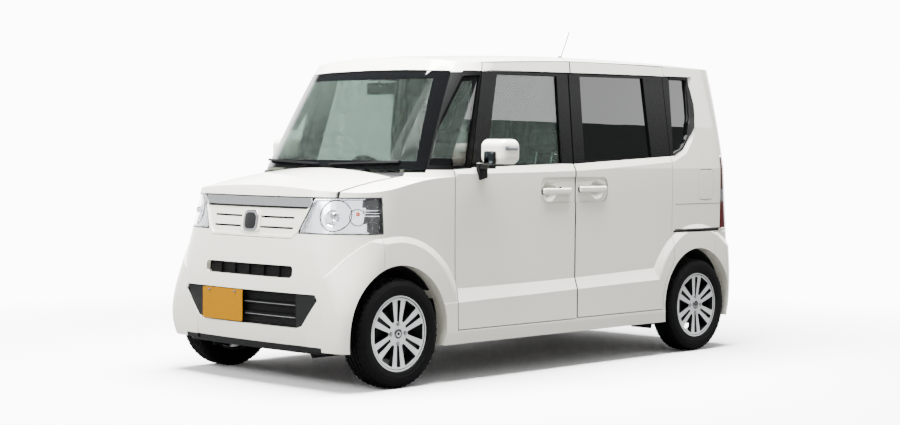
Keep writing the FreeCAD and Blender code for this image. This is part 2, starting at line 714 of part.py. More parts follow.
# Tail: lamps and bumper.
TAIL_TOP = 1183.0
TAIL_LAMP_BOTTOM = 742.0
TAIL_LAMP_FRONT = 1484.0
tail_region = box(-900, 900, TAIL_LAMP_FRONT, FAR, TAIL_LAMP_BOTTOM, TAIL_TOP)
tail_clear = box(-900, 900, TAIL_LAMP_FRONT - EDGE, FAR, TAIL_LAMP_BOTTOM - EDGE, TAIL_TOP + EDGE)
pieces["tail_lamps"], shell = take(shell, tail_region, tail_clear)
REAR_BUMPER_TOP = 718.0
rear_region = box(-900, 900, 1412, FAR, 0, REAR_BUMPER_TOP)
rear_clear = box(-900, 900, 1412 - EDGE, FAR, 0, REAR_BUMPER_TOP + EDGE)
pieces["rear_bumper"], shell = take(shell, rear_region, rear_clear)

# Tailgate: the bare place for a number plate, and the grip above it.
PLATE_PLACE = rounded_box(-192, 192, 1400, FAR, 742, 926, 12, Vector(0, 1, 0))
GRIP = rounded_box(-224, 224, 1400, FAR, 934, 972, 14, Vector(0, 1, 0))
PLACE_DEPTH = 14.0
GRIP_RISE = 6.0
tailgate = pieces["tailgate"].cut(PLATE_PLACE.cut(envelope(PLACE_DEPTH)))
pieces["tailgate"] = tailgate.fuse(GRIP.common(envelope(-GRIP_RISE)).cut(envelope(PLACE_DEPTH)))

# Roof panel between the side frames, and the windscreen's header.
ROOF_HALF = 596.0
ROOF_SEAM = 1652.0
HEADER_BOTTOM = 1625.0
HEADER_REAR = -600.0
roof_region = box(-ROOF_HALF, ROOF_HALF, -FAR, HINGE_LINE, ROOF_SEAM, FAR).fuse(
    box(-ROOF_HALF, ROOF_HALF, -FAR, HEADER_REAR, HEADER_BOTTOM, FAR))
pieces["roof_panel"], shell = take(shell, roof_region, roof_region)

# Windscreen opening and the body's own windows.
windscreen_hole = front_view_prism(SCREEN_OPENING, -1400, -600)
shell = shell.cut(windscreen_hole)
pieces["roof_panel"] = pieces["roof_panel"].cut(windscreen_hole)

# What is left of the shell: scuttle and firewall, then each side in turn.
WING_SPLIT = BONNET_HALF + 17
PILLAR_FOOT = 1105.0
PILLAR_TOP = 1650.0
HEADER_REACH = 300.0
scuttle_room = box(-WING_SPLIT, WING_SPLIT, -FAR, FIREWALL_REAR + 1, 0, PILLAR_FOOT)
scuttle, shell = take(shell, scuttle_room, scuttle_room)
for side in (1, -1):
    scuttle = scuttle.cut(wheel_house(FRONT_AXLE, side, HOUSE_WALL))
under_floor = box(-WING_SPLIT, WING_SPLIT, -FAR, FAR, 0, size("floor_bottom") + GAP)
pieces["scuttle_firewall"] = largest(scuttle.cut(under_floor))
left = shell.common(box(HEADER_REACH, 900, -FAR, FAR, 0, FAR))

lefts = {"headlamp": housing, "headlamp_lens": lenses}
wheel_edge = size("arch_radius") + 24
door_regions = {
    "front_door": (side_region(FRONT_DOOR, 0), side_region(FRONT_DOOR, -GAP)),
    "sliding_door": (
        side_region(SLIDING_DOOR, 0).cut(arch_cylinder(REAR_AXLE, wheel_edge)),
        side_region(SLIDING_DOOR, -GAP).cut(arch_cylinder(REAR_AXLE, wheel_edge - GAP)),
    ),
}
for door, (region, clearance) in door_regions.items():
    lefts[door], left = take(left, region, clearance)
wing_room = box(300, 900, -FAR, DOOR_FRONT - GAP - 6, 0, PILLAR_FOOT)
lefts["front_wing"], left = take(left, wing_room, wing_room)
pillar_room = box(300, 900, -FAR, -560, PILLAR_FOOT, PILLAR_TOP)
lefts["front_pillar"], left = take(left, pillar_room, pillar_room)
lefts["side_frame"] = largest(left)

# Windows: holes through the panels, and glass set back from the skin inside them.
RECESS = size("window_recess")
GLASS_OUT = RECESS + size("glass_setback")
GLASS_IN = GLASS_OUT + size("glass_thickness")
WINDOWS = (
    ("front_door", FRONT_WINDOW, "front_glass"),
    ("sliding_door", SLIDING_WINDOW, "sliding_glass"),
    ("front_pillar", CORNER_WINDOW, "corner_glass"),
    ("side_frame", QUARTER_WINDOW, "quarter_glass"),
)
for panel, window, glass in WINDOWS:
    hole = side_region(window, 0)
    lefts[glass] = hole.common(side_loft(UPPER_PLAN, GLASS_OUT)).cut(side_loft(UPPER_PLAN, GLASS_IN))
    lefts[panel] = lefts[panel].cut(hole)
corner_hole = side_region(CORNER_WINDOW, 0)
corner_out = corner_hole.common(side_loft(UPPER_PLAN, GLASS_OUT)).common(screen_block(8))
corner_in = corner_hole.common(side_loft(UPPER_PLAN, GLASS_IN))
lefts["corner_glass"] = corner_out.cut(corner_in.common(screen_block(8 + size("glass_thickness"))))
lefts["corner_glass"] = largest(lefts["corner_glass"].cut(windscreen_hole))

# Door handles: a shallow recess across both doors, a finger dish and a bar on each. A row
# gives the door, its bar's front and rear in y, its bottom and top in z, and the dish's y.
SKIN_X = HALF_WIDTH - LOWER_PLAN[-1][1]
RECESS_DEPTH = 4.0
DISH_RADIUS = 88.0
DISH_DEPTH = 22.0
HANDLE_RISE = 19.0
BAR_CORNER = 11.0
DISH_HALF = 52.0
RECESS_CORNER = 48.0
HANDLE_RECESS = (-206, 371, 921, 1064)
HANDLES = (("front_door", -196, 44, 968, 1004, -130), ("sliding_door", 116, 352, 976, 1012, 286))
handle_recess = rounded_box(SKIN_X - RECESS_DEPTH, FAR, *HANDLE_RECESS, RECESS_CORNER, Vector(1, 0, 0))
for door, bar_front, bar_rear, bar_bottom, bar_top, dish_at in HANDLES:
    dish = Part.makeSphere(DISH_RADIUS, Vector(SKIN_X - RECESS_DEPTH - DISH_DEPTH + DISH_RADIUS,
                                               dish_at, (bar_bottom + bar_top) / 2))
    bar = rounded_box(SKIN_X - RECESS_DEPTH - 12, SKIN_X + HANDLE_RISE, bar_front, bar_rear,
                      bar_bottom, bar_top, BAR_CORNER)
    under = box(SKIN_X - 60, SKIN_X + HANDLE_RISE - 15, dish_at - DISH_HALF, dish_at + DISH_HALF,
                bar_bottom - 1, bar_top + 1)
    lefts[door] = lefts[door].cut(handle_recess).cut(dish).fuse(bar.cut(under))

# Fuel lid on the car's left: the skin over a pocket that holds the filler's cap.
LID_SKIN = 7.0
POCKET_DEPTH = 36.0
FUEL_LID = (1258, 1408, 922, 1100)
LID_CORNER = 26.0
y0, y1, z0, z1 = FUEL_LID
lid_region = rounded_box(600, 900, y0, y1, z0, z1, LID_CORNER, Vector(1, 0, 0))
lid_clear = rounded_box(600, 900, y0 - GAP, y1 + GAP, z0 - GAP, z1 + GAP,
                        LID_CORNER + GAP, Vector(1, 0, 0))
fuel_lid = lefts["side_frame"].common(lid_region).cut(envelope(LID_SKIN))
fuel_pocket = lid_clear.cut(envelope(POCKET_DEPTH))
filler_cap = across(34, (y0 + y1) / 2, (z0 + z1) / 2, SKIN_X - POCKET_DEPTH - 6, SKIN_X - POCKET_DEPTH + 20)

# The slot that guides each sliding door's rear roller.
RAIL = box(SKIN_X - 16, 900, SLIDING_REAR + GAP + 12, 1512, 724, 737)
lefts["side_frame"] = lefts["side_frame"].cut(RAIL)

# Post behind the gap between the doors, from the floor to the roof.
POST_HALF = 46.0
POST_DEPTH = 34.0
POST_TUCK = 18.0
lower_inner = HALF_WIDTH - LOWER_PLAN[-1][1] - DOOR - 8
upper_inner = HALF_WIDTH - UPPER_PLAN[-1][1] - DOOR - 8
post_outline = ((lower_inner - POST_TUCK, FLOOR_TOP), (lower_inner, BELT), (upper_inner, UPPER_PLAN[-1][0]),
                (upper_inner - POST_DEPTH, UPPER_PLAN[-1][0]), (lower_inner - POST_DEPTH, BELT),
                (lower_inner - POST_DEPTH, FLOOR_TOP))
post_face = Part.Face(Part.makePolygon([Vector(x, PILLAR - POST_HALF, z)
                                        for x, z in post_outline + post_outline[:1]]))
post = post_face.extrude(Vector(0, 2 * POST_HALF, 0))
lefts["door_post"] = post.common(roof_block(size("roof_thickness")))

PAIRED = ("headlamp", "headlamp_lens", "front_wing", "front_pillar", "corner_glass",
          "quarter_glass", "sliding_glass")
lefts["side_frame"] = lefts["side_frame"].fuse(lefts.pop("door_post"))
for label, shape in lefts.items():
    if label not in PAIRED:
        pieces[f"{label}_left"] = shape
        pieces[f"{label}_right"] = mirrored(shape)
pieces["side_frame_left"] = largest(pieces["side_frame_left"].cut(fuel_pocket).fuse(filler_cap))
pieces["fuel_lid"] = fuel_lid
pieces["front_pillars"] = both_sides(lefts["front_pillar"])
pieces["headlamps"] = both_sides(lefts["headlamp"])
pieces["headlamp_lenses"] = both_sides(lefts["headlamp_lens"])
pieces["front_wings"] = both_sides(lefts["front_wing"])
pieces["fixed_side_glass"] = joined_list([both_sides(lefts[glass]) for glass in
                                          ("corner_glass", "quarter_glass", "sliding_glass")])
REAR_GLASS_OUT = 6.0
glass_in = 4 + size("glass_thickness")
screen_room = windscreen_hole.common(box(-900, 900, -FAR, 0, PILLAR_FOOT, FAR))
pieces["windscreen"] = screen_room.common(screen_block(4)).cut(screen_block(glass_in))
rear_hole = front_view_prism(REAR_WINDOW, 1400, 1900)
rear_glass = rear_hole.common(side_loft(UPPER_PLAN, REAR_GLASS_OUT))
pieces["tailgate_glass"] = rear_glass.cut(side_loft(UPPER_PLAN, REAR_GLASS_OUT + size("glass_thickness")))
pieces["tailgate"] = pieces["tailgate"].cut(rear_hole)

# ---------------------------------------------------------------------------------------
# Floor and wheel houses
# ---------------------------------------------------------------------------------------

FLOOR = size("floor_bottom")
REAR_FLOOR = size("rear_floor_bottom")
REAR_FLOOR_TOP = REAR_FLOOR + size("floor_thickness")
STEP_FRONT = 760.0
STEP_REAR = STEP_FRONT + size("floor_thickness")
FLOOR_FRONT = FIREWALL_REAR
floor_profile = (
    (FLOOR_FRONT, FLOOR), (STEP_REAR, FLOOR), (STEP_REAR, REAR_FLOOR), (1700, REAR_FLOOR),
    (1700, REAR_FLOOR_TOP), (STEP_FRONT, REAR_FLOOR_TOP), (STEP_FRONT, FLOOR_TOP),
    (FLOOR_FRONT, FLOOR_TOP),
)
floor = side_prism(floor_profile, -800, 800).common(envelope(DOOR))
for name, side in SIDES:
    for axle in (FRONT_AXLE, REAR_AXLE):
        floor = floor.cut(wheel_house(axle, side, HOUSE_WALL))
pieces["floor_pan"] = floor

# Each front house carries a tower for the strut, and is open for the lower arm and drive shaft.
TOWER_RADIUS = 62.0
TOWER_WALL = 8.0
TOWER_FOOT = 590.0
TOWER_TOP = 770.0
ARM_OPENING = 70.0
STUB_OPENING = 76.0


def strut_tower(radius, height):
    """A cylinder about the left strut, from low in the front wheel house."""
    tower = Part.makeCylinder(radius, height - TOWER_FOOT, Vector(KINGPIN_X, FRONT_AXLE, TOWER_FOOT))
    return kingpin_frame(tower, FRONT_AXLE)


front_house = wheel_house(FRONT_AXLE, 1, HOUSE_WALL).fuse(strut_tower(TOWER_RADIUS, TOWER_TOP))
front_house = front_house.cut(wheel_house(FRONT_AXLE, 1, 0))
front_house = front_house.cut(strut_tower(TOWER_RADIUS - TOWER_WALL, TOWER_TOP - TOWER_WALL))
arm_hole = box(300, FRONT_HOUSE_INNER + 1, FRONT_AXLE - ARM_OPENING, FRONT_AXLE + ARM_OPENING, 0, 360)
front_house = front_house.cut(arm_hole).common(envelope(DOOR)).cut(lefts["front_wing"])
rear_house = wheel_house(REAR_AXLE, 1, HOUSE_WALL).cut(wheel_house(REAR_AXLE, 1, 0))
rear_house = rear_house.cut(across(STUB_OPENING, REAR_AXLE, HUB_HEIGHT, 400, REAR_HOUSE_INNER + 1))
rear_house = rear_house.common(envelope(DOOR))
pieces["wheel_houses"] = joined_list([both_sides(largest(front_house)), both_sides(largest(rear_house))])

for label, shape in pieces.items():
    feature(label, shape)

# ---------------------------------------------------------------------------------------
# Running gear, seats and controls, as features bound to the sheet
# ---------------------------------------------------------------------------------------

def fused(label, *tools):
    """Several primitives as one piece."""
    piece = doc.addObject("Part::MultiFuse", label)
    piece.Label = label
    piece.Shapes = list(tools)
    return piece


def turned_body(label, profile, centre, turn=None):
    """A PartDesign body revolved about its own X axis from a closed (axial, radial) profile.

    Each coordinate is an expression on the sheet's cells.
    """
    body = doc.addObject("PartDesign::Body", label)
    body.Label = label
    sketch = body.newObject("Sketcher::SketchObject", f"{label}_profile")
    plane = [f for f in body.Origin.OriginFeatures if f.Role == "XY_Plane"][0]
    sketch.AttachmentSupport = (plane, [""])
    sketch.MapMode = "FlatFace"
    draw_polygon(sketch, profile)
    turned = body.newObject("PartDesign::Revolution", f"{label}_turned")
    turned.Profile = sketch
    turned.ReferenceAxis = (sketch, ["H_Axis"])
    turned.Angle = 360.0
    body.Placement = Placement(Vector(*centre), turn or Rotation())
    return body


def draw_polygon(sketch, profile):
    """A closed polygon in a sketch, each corner placed by two expressions."""
    corners = [Vector(evaluate(a), evaluate(b), 0) for a, b in profile]
    count = len(corners)
    for i in range(count):
        sketch.addGeometry(Part.LineSegment(corners[i], corners[(i + 1) % count]), False)
    for i in range(count):
        sketch.addConstraint(Sketcher.Constraint("Coincident", i, 2, (i + 1) % count, 1))
    for i, (across_by, up_by) in enumerate(profile):
        for kind, value, expression in (("DistanceX", corners[i].x, across_by),
                                        ("DistanceY", corners[i].y, up_by)):
            index = sketch.addConstraint(Sketcher.Constraint(kind, -1, 1, i, 1, value))
            sketch.setExpression(f"Constraints[{index}]", expression)


def evaluate(expression):
    """The present value of an expression on the sheet's cells."""
    return float(sheet.evalExpression(expression))


WHEEL_CENTRES = (
    ("front_left", 1, FRONT_AXLE), ("front_right", -1, FRONT_AXLE),
    ("rear_left", 1, REAR_AXLE), ("rear_right", -1, REAR_AXLE),
)
TYRE_PROFILE = (
    ("-sizes.rim_width / 2 + 6.5", "sizes.rim_diameter / 2 - 5.8"),
    ("-sizes.rim_width / 2 + 6.5", "sizes.rim_diameter / 2 + 4.5"),
    ("-sizes.rim_width / 2 - 3", "sizes.rim_diameter / 2 + 6"),
    ("-sizes.tyre_width / 2 + 3", "sizes.rim_diameter / 2 + 24"),
    ("-sizes.tyre_width / 2", "sizes.tyre_diameter / 2 - sizes.tyre_shoulder - 18"),
    ("-sizes.tyre_width / 2 + 3", "sizes.tyre_diameter / 2 - sizes.tyre_shoulder + 4"),
    ("-sizes.tyre_tread_width / 2 - 2", "sizes.tyre_diameter / 2 - 6"),
    ("-sizes.tyre_tread_width / 2 + 16", "sizes.tyre_diameter / 2"),
    ("sizes.tyre_tread_width / 2 - 16", "sizes.tyre_diameter / 2"),
    ("sizes.tyre_tread_width / 2 + 2", "sizes.tyre_diameter / 2 - 6"),
    ("sizes.tyre_width / 2 - 3", "sizes.tyre_diameter / 2 - sizes.tyre_shoulder + 4"),
    ("sizes.tyre_width / 2", "sizes.tyre_diameter / 2 - sizes.tyre_shoulder - 18"),
    ("sizes.tyre_width / 2 - 3", "sizes.rim_diameter / 2 + 24"),
    ("sizes.rim_width / 2 + 3", "sizes.rim_diameter / 2 + 6"),
    ("sizes.rim_width / 2 - 6.5", "sizes.rim_diameter / 2 + 4.5"),
    ("sizes.rim_width / 2 - 6.5", "sizes.rim_diameter / 2 - 5.8"),
)
for name, side, axle in WHEEL_CENTRES:
    turned_body(f"tyre_{name}", TYRE_PROFILE, (side * WHEEL_X, axle, HUB_HEIGHT))

# A wheel: barrel with its two lips, hub with a bore, twin spokes and the brake disc.
RIM_PROFILE = (
    ("-sizes.rim_width / 2", "sizes.rim_diameter / 2 + 4"),
    ("-sizes.rim_width / 2 + 6", "sizes.rim_diameter / 2 + 4"),
    ("-sizes.rim_width / 2 + 6", "sizes.rim_diameter / 2 - 6"),
    ("sizes.rim_width / 2 - 6", "sizes.rim_diameter / 2 - 6"),
    ("sizes.rim_width / 2 - 6", "sizes.rim_diameter / 2 + 4"),
    ("sizes.rim_width / 2", "sizes.rim_diameter / 2 + 4"),
    ("sizes.rim_width / 2", "sizes.rim_diameter / 2 - 4"),
    ("sizes.rim_width / 2 - 14", "sizes.rim_diameter / 2 - 6 - sizes.rim_wall"),
    ("-sizes.rim_width / 2 + 6", "sizes.rim_diameter / 2 - 6 - sizes.rim_wall"),
    ("-sizes.rim_width / 2", "sizes.rim_diameter / 2 - 4"),
)
HUB_FACE = size("hub_face_offset")
AXLE_RADIUS = size("stub_axle_diameter") / 2
BORE_RADIUS = AXLE_RADIUS + 0.05
HUB_BACK = -4.0
DISC_BACK = 4.0
AXLE_END = HUB_FACE - 38


FACE_SETBACK = 8.0
WINDOW_INNER = 66.0
WINDOW_APEX = 15.0
GROOVE_INNER = 61.0
GROOVE_TAPER = 0.55
LIP_SETBACK = 11.0


def radial_prism(inner, outer, inner_width, outer_width, x0, x1, corner):
    """A rounded wedge on the +Z side of the wheel's axis, running along it."""
    outline = [Vector(x0, -inner_width / 2, inner), Vector(x0, inner_width / 2, inner),
               Vector(x0, outer_width / 2, outer), Vector(x0, -outer_width / 2, outer)]
    wedge = Part.Face(Part.makePolygon(outline + outline[:1])).extrude(Vector(x1 - x0, 0, 0))
    along = [edge for edge in wedge.Edges if abs(edge.tangentAt(0).x) > 0.99]
    return wedge.makeFillet(corner, along)


def turned_about_axis(shape, degrees):
    """A copy of the shape turned about the wheel's axis."""
    copy = shape.copy()
    copy.rotate(Vector(), Vector(1, 0, 0), degrees)
    return copy


def wheel_disc():
    """Dished face with its windows and grooves, hub and brake disc of a left-hand wheel."""
    reach = size("rim_diameter") / 2 - 8
    thickness = size("wheel_face_thickness")
    front = HUB_FACE - FACE_SETBACK
    profile = [Vector(front, 0, 0), Vector(front, 0, 58), Vector(HUB_FACE - 2, 0, reach - 20),
               Vector(HUB_FACE - 2, 0, reach), Vector(HUB_FACE - 2 - thickness, 0, reach),
               Vector(front - thickness, 0, 60), Vector(front - thickness, 0, 0)]
    face = Part.Face(Part.makePolygon(profile + profile[:1])).revolve(Vector(), Vector(1, 0, 0), 360)
    count = int(size("spoke_count"))
    groove_width = size("spoke_groove_width")
    window = radial_prism(WINDOW_INNER, reach - LIP_SETBACK, WINDOW_APEX, size("wheel_window_width"),
                          -200, 200, 7)
    groove = radial_prism(GROOVE_INNER, reach - LIP_SETBACK, groove_width * GROOVE_TAPER, groove_width,
                          front - size("spoke_groove_depth"), 200, 5)
    nut_count = int(size("wheel_nut_count"))
    pocket = Part.makeCylinder(size("wheel_nut_pocket") / 2, 100,
                               Vector(front - 12, 0, size("wheel_nut_circle") / 2), Vector(1, 0, 0))
    cuts = [turned_about_axis(window, 360.0 * (index + 0.5) / count) for index in range(count)]
    cuts += [turned_about_axis(groove, 360.0 * index / count) for index in range(count)]
    cuts += [turned_about_axis(pocket, 360.0 * index / nut_count) for index in range(nut_count)]
    face = face.cut(cuts)
    hub = across(AXLE_RADIUS + 12, 0, 0, HUB_BACK, front - thickness + 1)
    disc = across(size("disc_diameter") / 2, 0, 0, DISC_BACK, DISC_BACK + size("disc_thickness"))
    cap_radius = size("centre_cap_diameter") / 2
    cap = Part.makeCone(cap_radius, cap_radius - 3, 6, Vector(front - 1, 0, 0), Vector(1, 0, 0))
    wheel = face.fuse([hub, disc, cap])
    return wheel.cut(across(BORE_RADIUS, 0, 0, -200, AXLE_END + 4))


disc_shape = wheel_disc()
for name, side, axle in WHEEL_CENTRES:
    centre = (side * WHEEL_X, axle, HUB_HEIGHT)
    barrel = turned_body(f"barrel_{name}", RIM_PROFILE, centre)
    face = feature(f"wheel_face_{name}", disc_shape if side > 0 else mirrored(disc_shape))
    face.Placement = Placement(Vector(*centre), Rotation())
    fused(f"rim_{name}", barrel, face)

# Steering knuckles: stub axle, upright and strut, turning together about the strut's axis.
UPRIGHT_BELOW = 92.0
UPRIGHT_ABOVE = 110.0
STRUT_TUBE_TOP = 575.0
STRUT_TOP = 748.0
for name, side, axle in WHEEL_CENTRES[:2]:
    stub = across(AXLE_RADIUS, 0, 0, -size("kingpin_offset"), AXLE_END)
    shoulder = across(AXLE_RADIUS + 20, 0, 0, -size("kingpin_offset") - 22, HUB_BACK - 1)
    knuckle = stub.fuse(shoulder)
    knuckle.translate(Vector(WHEEL_X, axle, HUB_HEIGHT))
    upright = box(KINGPIN_X - 18, KINGPIN_X + 18, axle - 24, axle + 24,
                  HUB_HEIGHT - UPRIGHT_BELOW, HUB_HEIGHT + UPRIGHT_ABOVE)
    tube = Part.makeCylinder(size("strut_diameter") / 2, STRUT_TUBE_TOP - HUB_HEIGHT,
                             Vector(KINGPIN_X, axle, HUB_HEIGHT))
    rod = Part.makeCylinder(11, STRUT_TOP - STRUT_TUBE_TOP + 20,
                            Vector(KINGPIN_X, axle, STRUT_TUBE_TOP - 20))
    knuckle = knuckle.fuse(kingpin_frame(upright.fuse([tube, rod]), axle))
    feature(f"knuckle_{name}", knuckle if side > 0 else mirrored(knuckle))

# Front subframe with the lower arms, and the towers that take the struts.
SUBFRAME_HALF = 330.0
ARM_HEIGHT = 144.0
ARM_TOP = 172.0
ARM_END = KINGPIN_X + 40
subframe = box(-SUBFRAME_HALF, SUBFRAME_HALF, FRONT_AXLE - 60, FRONT_AXLE + 190, 168, 214)
for side in (1, -1):
    x0, x1 = sorted((side * (SUBFRAME_HALF - 40), side * ARM_END))
    subframe = subframe.fuse(box(x0, x1, FRONT_AXLE - 26, FRONT_AXLE + 26, ARM_HEIGHT, ARM_TOP))
feature("front_subframe", subframe)
feature("engine_block", box(-372, 372, FRONT_AXLE - 190, FRONT_AXLE + 160, 216, 860))
# Rear axle: a beam with trailing arms, stub axles and springs.
ARM_X = 440.0
BEAM_BOTTOM = 236.0
BEAM_TOP = 300.0
SPRING_RADIUS = 40.0
beam = box(-ARM_X, ARM_X, 1040, 1100, BEAM_BOTTOM, BEAM_TOP)
for side in (1, -1):
    x0, x1 = sorted((side * (ARM_X - 30), side * (ARM_X + 30)))
    beam = beam.fuse(box(x0, x1, 850, REAR_AXLE + 40, BEAM_BOTTOM, BEAM_TOP))
    for radius, end in ((AXLE_RADIUS + 20, HUB_BACK - 1), (AXLE_RADIUS, AXLE_END)):
        x0, x1 = sorted((side * (ARM_X - 10), side * (WHEEL_X + end)))
        beam = beam.fuse(across(radius, REAR_AXLE, HUB_HEIGHT, x0, x1))
    spring = Part.makeCylinder(SPRING_RADIUS, REAR_FLOOR - BEAM_TOP, Vector(side * ARM_X, 1120, BEAM_TOP))
    beam = beam.fuse(spring)
feature("rear_axle_beam", beam)

feature("fuel_tank", rounded_box(-430, 60, -430, 200, 160, FLOOR, 22, Vector(0, 0, 1)))

# Exhaust: a pipe under the floor and the rear axle, up to a silencer with its tail pipe.
PIPE_RADIUS = 22.0
PIPE_ROUTE = ((130, -1080, 190), (130, 1215, 190), (130, 1420, 285))
silencer = across(70, 1440, 302, -235, 235)
exhaust = silencer
for start, end in zip(PIPE_ROUTE, PIPE_ROUTE[1:]):
    run = Vector(*end) - Vector(*start)
    exhaust = exhaust.fuse(Part.makeCylinder(PIPE_RADIUS, run.Length, Vector(*start), run))
    exhaust = exhaust.fuse(Part.makeSphere(PIPE_RADIUS, Vector(*end)))
tail_run = Vector(0, 150, -48)
exhaust = exhaust.fuse(Part.makeCylinder(18, tail_run.Length, Vector(-170, 1460, 262), tail_run))
feature("exhaust", exhaust)

# Inside: dashboard, steering wheel, seats and mirror.
DASH_HALF = 640.0
DASH_FRONT = FIREWALL_REAR + 2
DASH_PROFILE = ((DASH_FRONT, 700), (-650, 690), (-606, 760), (-600, 880), (-640, 975), (-800, 1056),
                (DASH_FRONT, 1060))
DASH_CLEARANCE = 8.0
dash = side_prism(DASH_PROFILE, -DASH_HALF, DASH_HALF).common(envelope(DOOR + DASH_CLEARANCE))
dash = dash.common(screen_block(DOOR + DASH_CLEARANCE).fuse(box(-800, 800, -FAR, FAR, 0, 900)))
feature("dashboard", largest(dash))

WHEEL_SIDE = -size("seat_spacing") / 2
WHEEL_PIVOT = Vector(WHEEL_SIDE, -500, 1010)
TILT = size("steering_tilt_degrees")
rim_radius = size("steering_wheel_diameter") / 2
rim_tube = size("steering_rim_thickness") / 2
steering = Part.makeTorus(rim_radius - rim_tube, rim_tube)
steering = steering.fuse(Part.makeCone(58, 70, 30, Vector(0, 0, -34)))
for angle in (0, 180, 270):
    bar = box(40, rim_radius - rim_tube, -17, 17, -16, -2)
    bar.rotate(Vector(0, 0, 0), Vector(0, 0, 1), angle)
    steering = steering.fuse(bar)
steering = steering.fuse(Part.makeCylinder(16, 90, Vector(0, 0, -120)))
steering.rotate(Vector(0, 0, 0), Vector(1, 0, 0), -(90 - TILT))
steering.translate(WHEEL_PIVOT)
feature("steering_wheel", steering)

# Seats, one row each: label, half width, spacing, the cushion's front and rear in y, its
# bottom and top, the back's top, and the floor it stands on.
SEAT_ROWS = (
    ("front_seats", size("seat_width") / 2, size("seat_spacing"), -290, 200,
     size("seat_cushion_height") - 150, size("seat_cushion_height"), 1150, FLOOR_TOP),
    ("rear_seats", 225, 505, 560, 1010, REAR_FLOOR_TOP + 12, size("seat_cushion_height") + 70, 1150,
     REAR_FLOOR_TOP),
)
SEAT_BASE_HALF = 190.0


def seat(x, half, front, rear, bottom, top, back_top, floor_top):
    """A cushion on its base, a leaning back, and a headrest on two posts, as one solid."""
    cushion = rounded_box(x - half, x + half, front, rear, bottom, top, 30)
    base_front = max(front + 60, STEP_FRONT) if floor_top > FLOOR_TOP else front + 60
    base = box(x - SEAT_BASE_HALF, x + SEAT_BASE_HALF, base_front, rear - 30, floor_top, bottom + 32)
    back = side_prism(((rear - 120, top - 60), (rear - 14, top - 60), (rear + 106, back_top),
                       (rear + 16, back_top)), x - half, x + half)
    rest = side_prism(((rear + 22, back_top + 40), (rear + 100, back_top + 40),
                       (rear + 122, back_top + 190), (rear + 54, back_top + 190)), x - 125, x + 125)
    posts = [Part.makeCylinder(7, 80, Vector(x + way * 60, rear + 66, back_top - 20)) for way in (-1, 1)]
    return cushion.fuse([base, back, rest] + posts)


for label, half, spacing, *rest_of_row in SEAT_ROWS:
    feature(label, joined_list([seat(way * spacing / 2, half, *rest_of_row) for way in (-1, 1)]))

MIRROR_STEM = Vector(0, -752, 1560)
mirror_body = rounded_box(-118, 118, -742, -712, 1512, 1580, 13)
mirror_body = mirror_body.fuse(Part.makeCylinder(8, 40, MIRROR_STEM, Vector(0, 1, 0)))
mirror_body = mirror_body.fuse(Part.makeCylinder(8, 60, MIRROR_STEM)).fuse(
    Part.makeCylinder(24, 6, MIRROR_STEM + Vector(0, 0, 56)))
feature("interior_mirror", mirror_body.common(roof_block(size("roof_thickness"))))

# Outside: door mirrors on their feet, wipers and aerial.
MIRROR_BOX = (752, 940, -748, -612, 1136, 1268)
MIRROR_ROUNDING = 40.0
MIRROR_FACE = -628.0
FOOT_OUTLINE = ((-722, 1140), (-646, 1140), (-650, 1064), (-700, 1052))
mirror = rounded_box(*MIRROR_BOX, MIRROR_ROUNDING).cut(box(600, 1000, MIRROR_FACE, 0, 0, FAR))
foot = side_prism(FOOT_OUTLINE, SKIN_X - 8, SKIN_X + 14).fuse(side_prism(
    ((-712, 1112), (-660, 1112), (-660, 1142), (-712, 1142)), SKIN_X - 8, MIRROR_BOX[0] + 46))
mirror = mirror.fuse(foot).cut(lefts["front_door"])
feature("mirror_left", largest(mirror))
feature("mirror_right", mirrored(largest(mirror)))

AERIAL_FOOT = Vector(0, 775, 1762)
AERIAL_LEAN = Vector(0, 86, 181)
aerial = Part.makeCylinder(3, AERIAL_LEAN.Length, AERIAL_FOOT, AERIAL_LEAN)
aerial = aerial.fuse(Part.makeCone(26, 9, 30, AERIAL_FOOT)).cut(roof_block())
feature("aerial", aerial)

# Wipers: bands that lie just off the windscreen, as (x, z) outlines in the front view.
WIPER_BANDS = (
    ((-560, 1143), (-30, 1127), (-30, 1136), (-560, 1154)),
    ((60, 1127), (520, 1143), (520, 1154), (60, 1136)),
)
WIPER_NEAR = 3.0
WIPER_HEIGHT = 11.0
wiper_layer = screen_block(-WIPER_NEAR - WIPER_HEIGHT).cut(screen_block(-WIPER_NEAR))
blades = []
for band in WIPER_BANDS:
    outline = [Vector(x, -1400, z) for x, z in band]
    prism = Part.Face(Part.makePolygon(outline + outline[:1])).extrude(Vector(0, 800, 0))
    blades.append(wiper_layer.common(prism))
feature("wipers", joined_list(blades))

doc.recompute()

# ---------------------------------------------------------------------------------------
# Checks and export
# ---------------------------------------------------------------------------------------

TOOLS = [f"{kind}_{name}" for kind in ("barrel", "wheel_face") for name, side, axle in WHEEL_CENTRES]
parts = []
for item in doc.Objects:
    if "Invalid" in item.State or "Error" in item.State:
        raise RuntimeError(f"{item.Label} failed: {item.State}")
    own = item.isDerivedFrom("Part::Feature") and item.getParentGeoFeatureGroup() is None
    if own and item.Label not in TOOLS:
        parts.append(item)
os.makedirs("parts", exist_ok=True)
for item in parts:
    if item.Shape.isNull() or not item.Shape.isValid():
        raise RuntimeError(f"{item.Label} has no valid shape")
    item.Shape.exportStep(f"parts/{item.Label}.step")
    print(item.Label, len(item.Shape.Solids), round(item.Shape.Volume / 1e6, 2))
print(len(parts), "sub-parts")
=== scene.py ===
"""Looks of a tall kei car with sliding rear doors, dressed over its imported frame.

Lengths are in metres unless a name says millimetres. +X is the car's left, -Y its front.
"""

from __future__ import annotations

import json
import logging
import math
from collections.abc import Callable, Sequence
from dataclasses import dataclass, field
from enum import Enum
from functools import cached_property

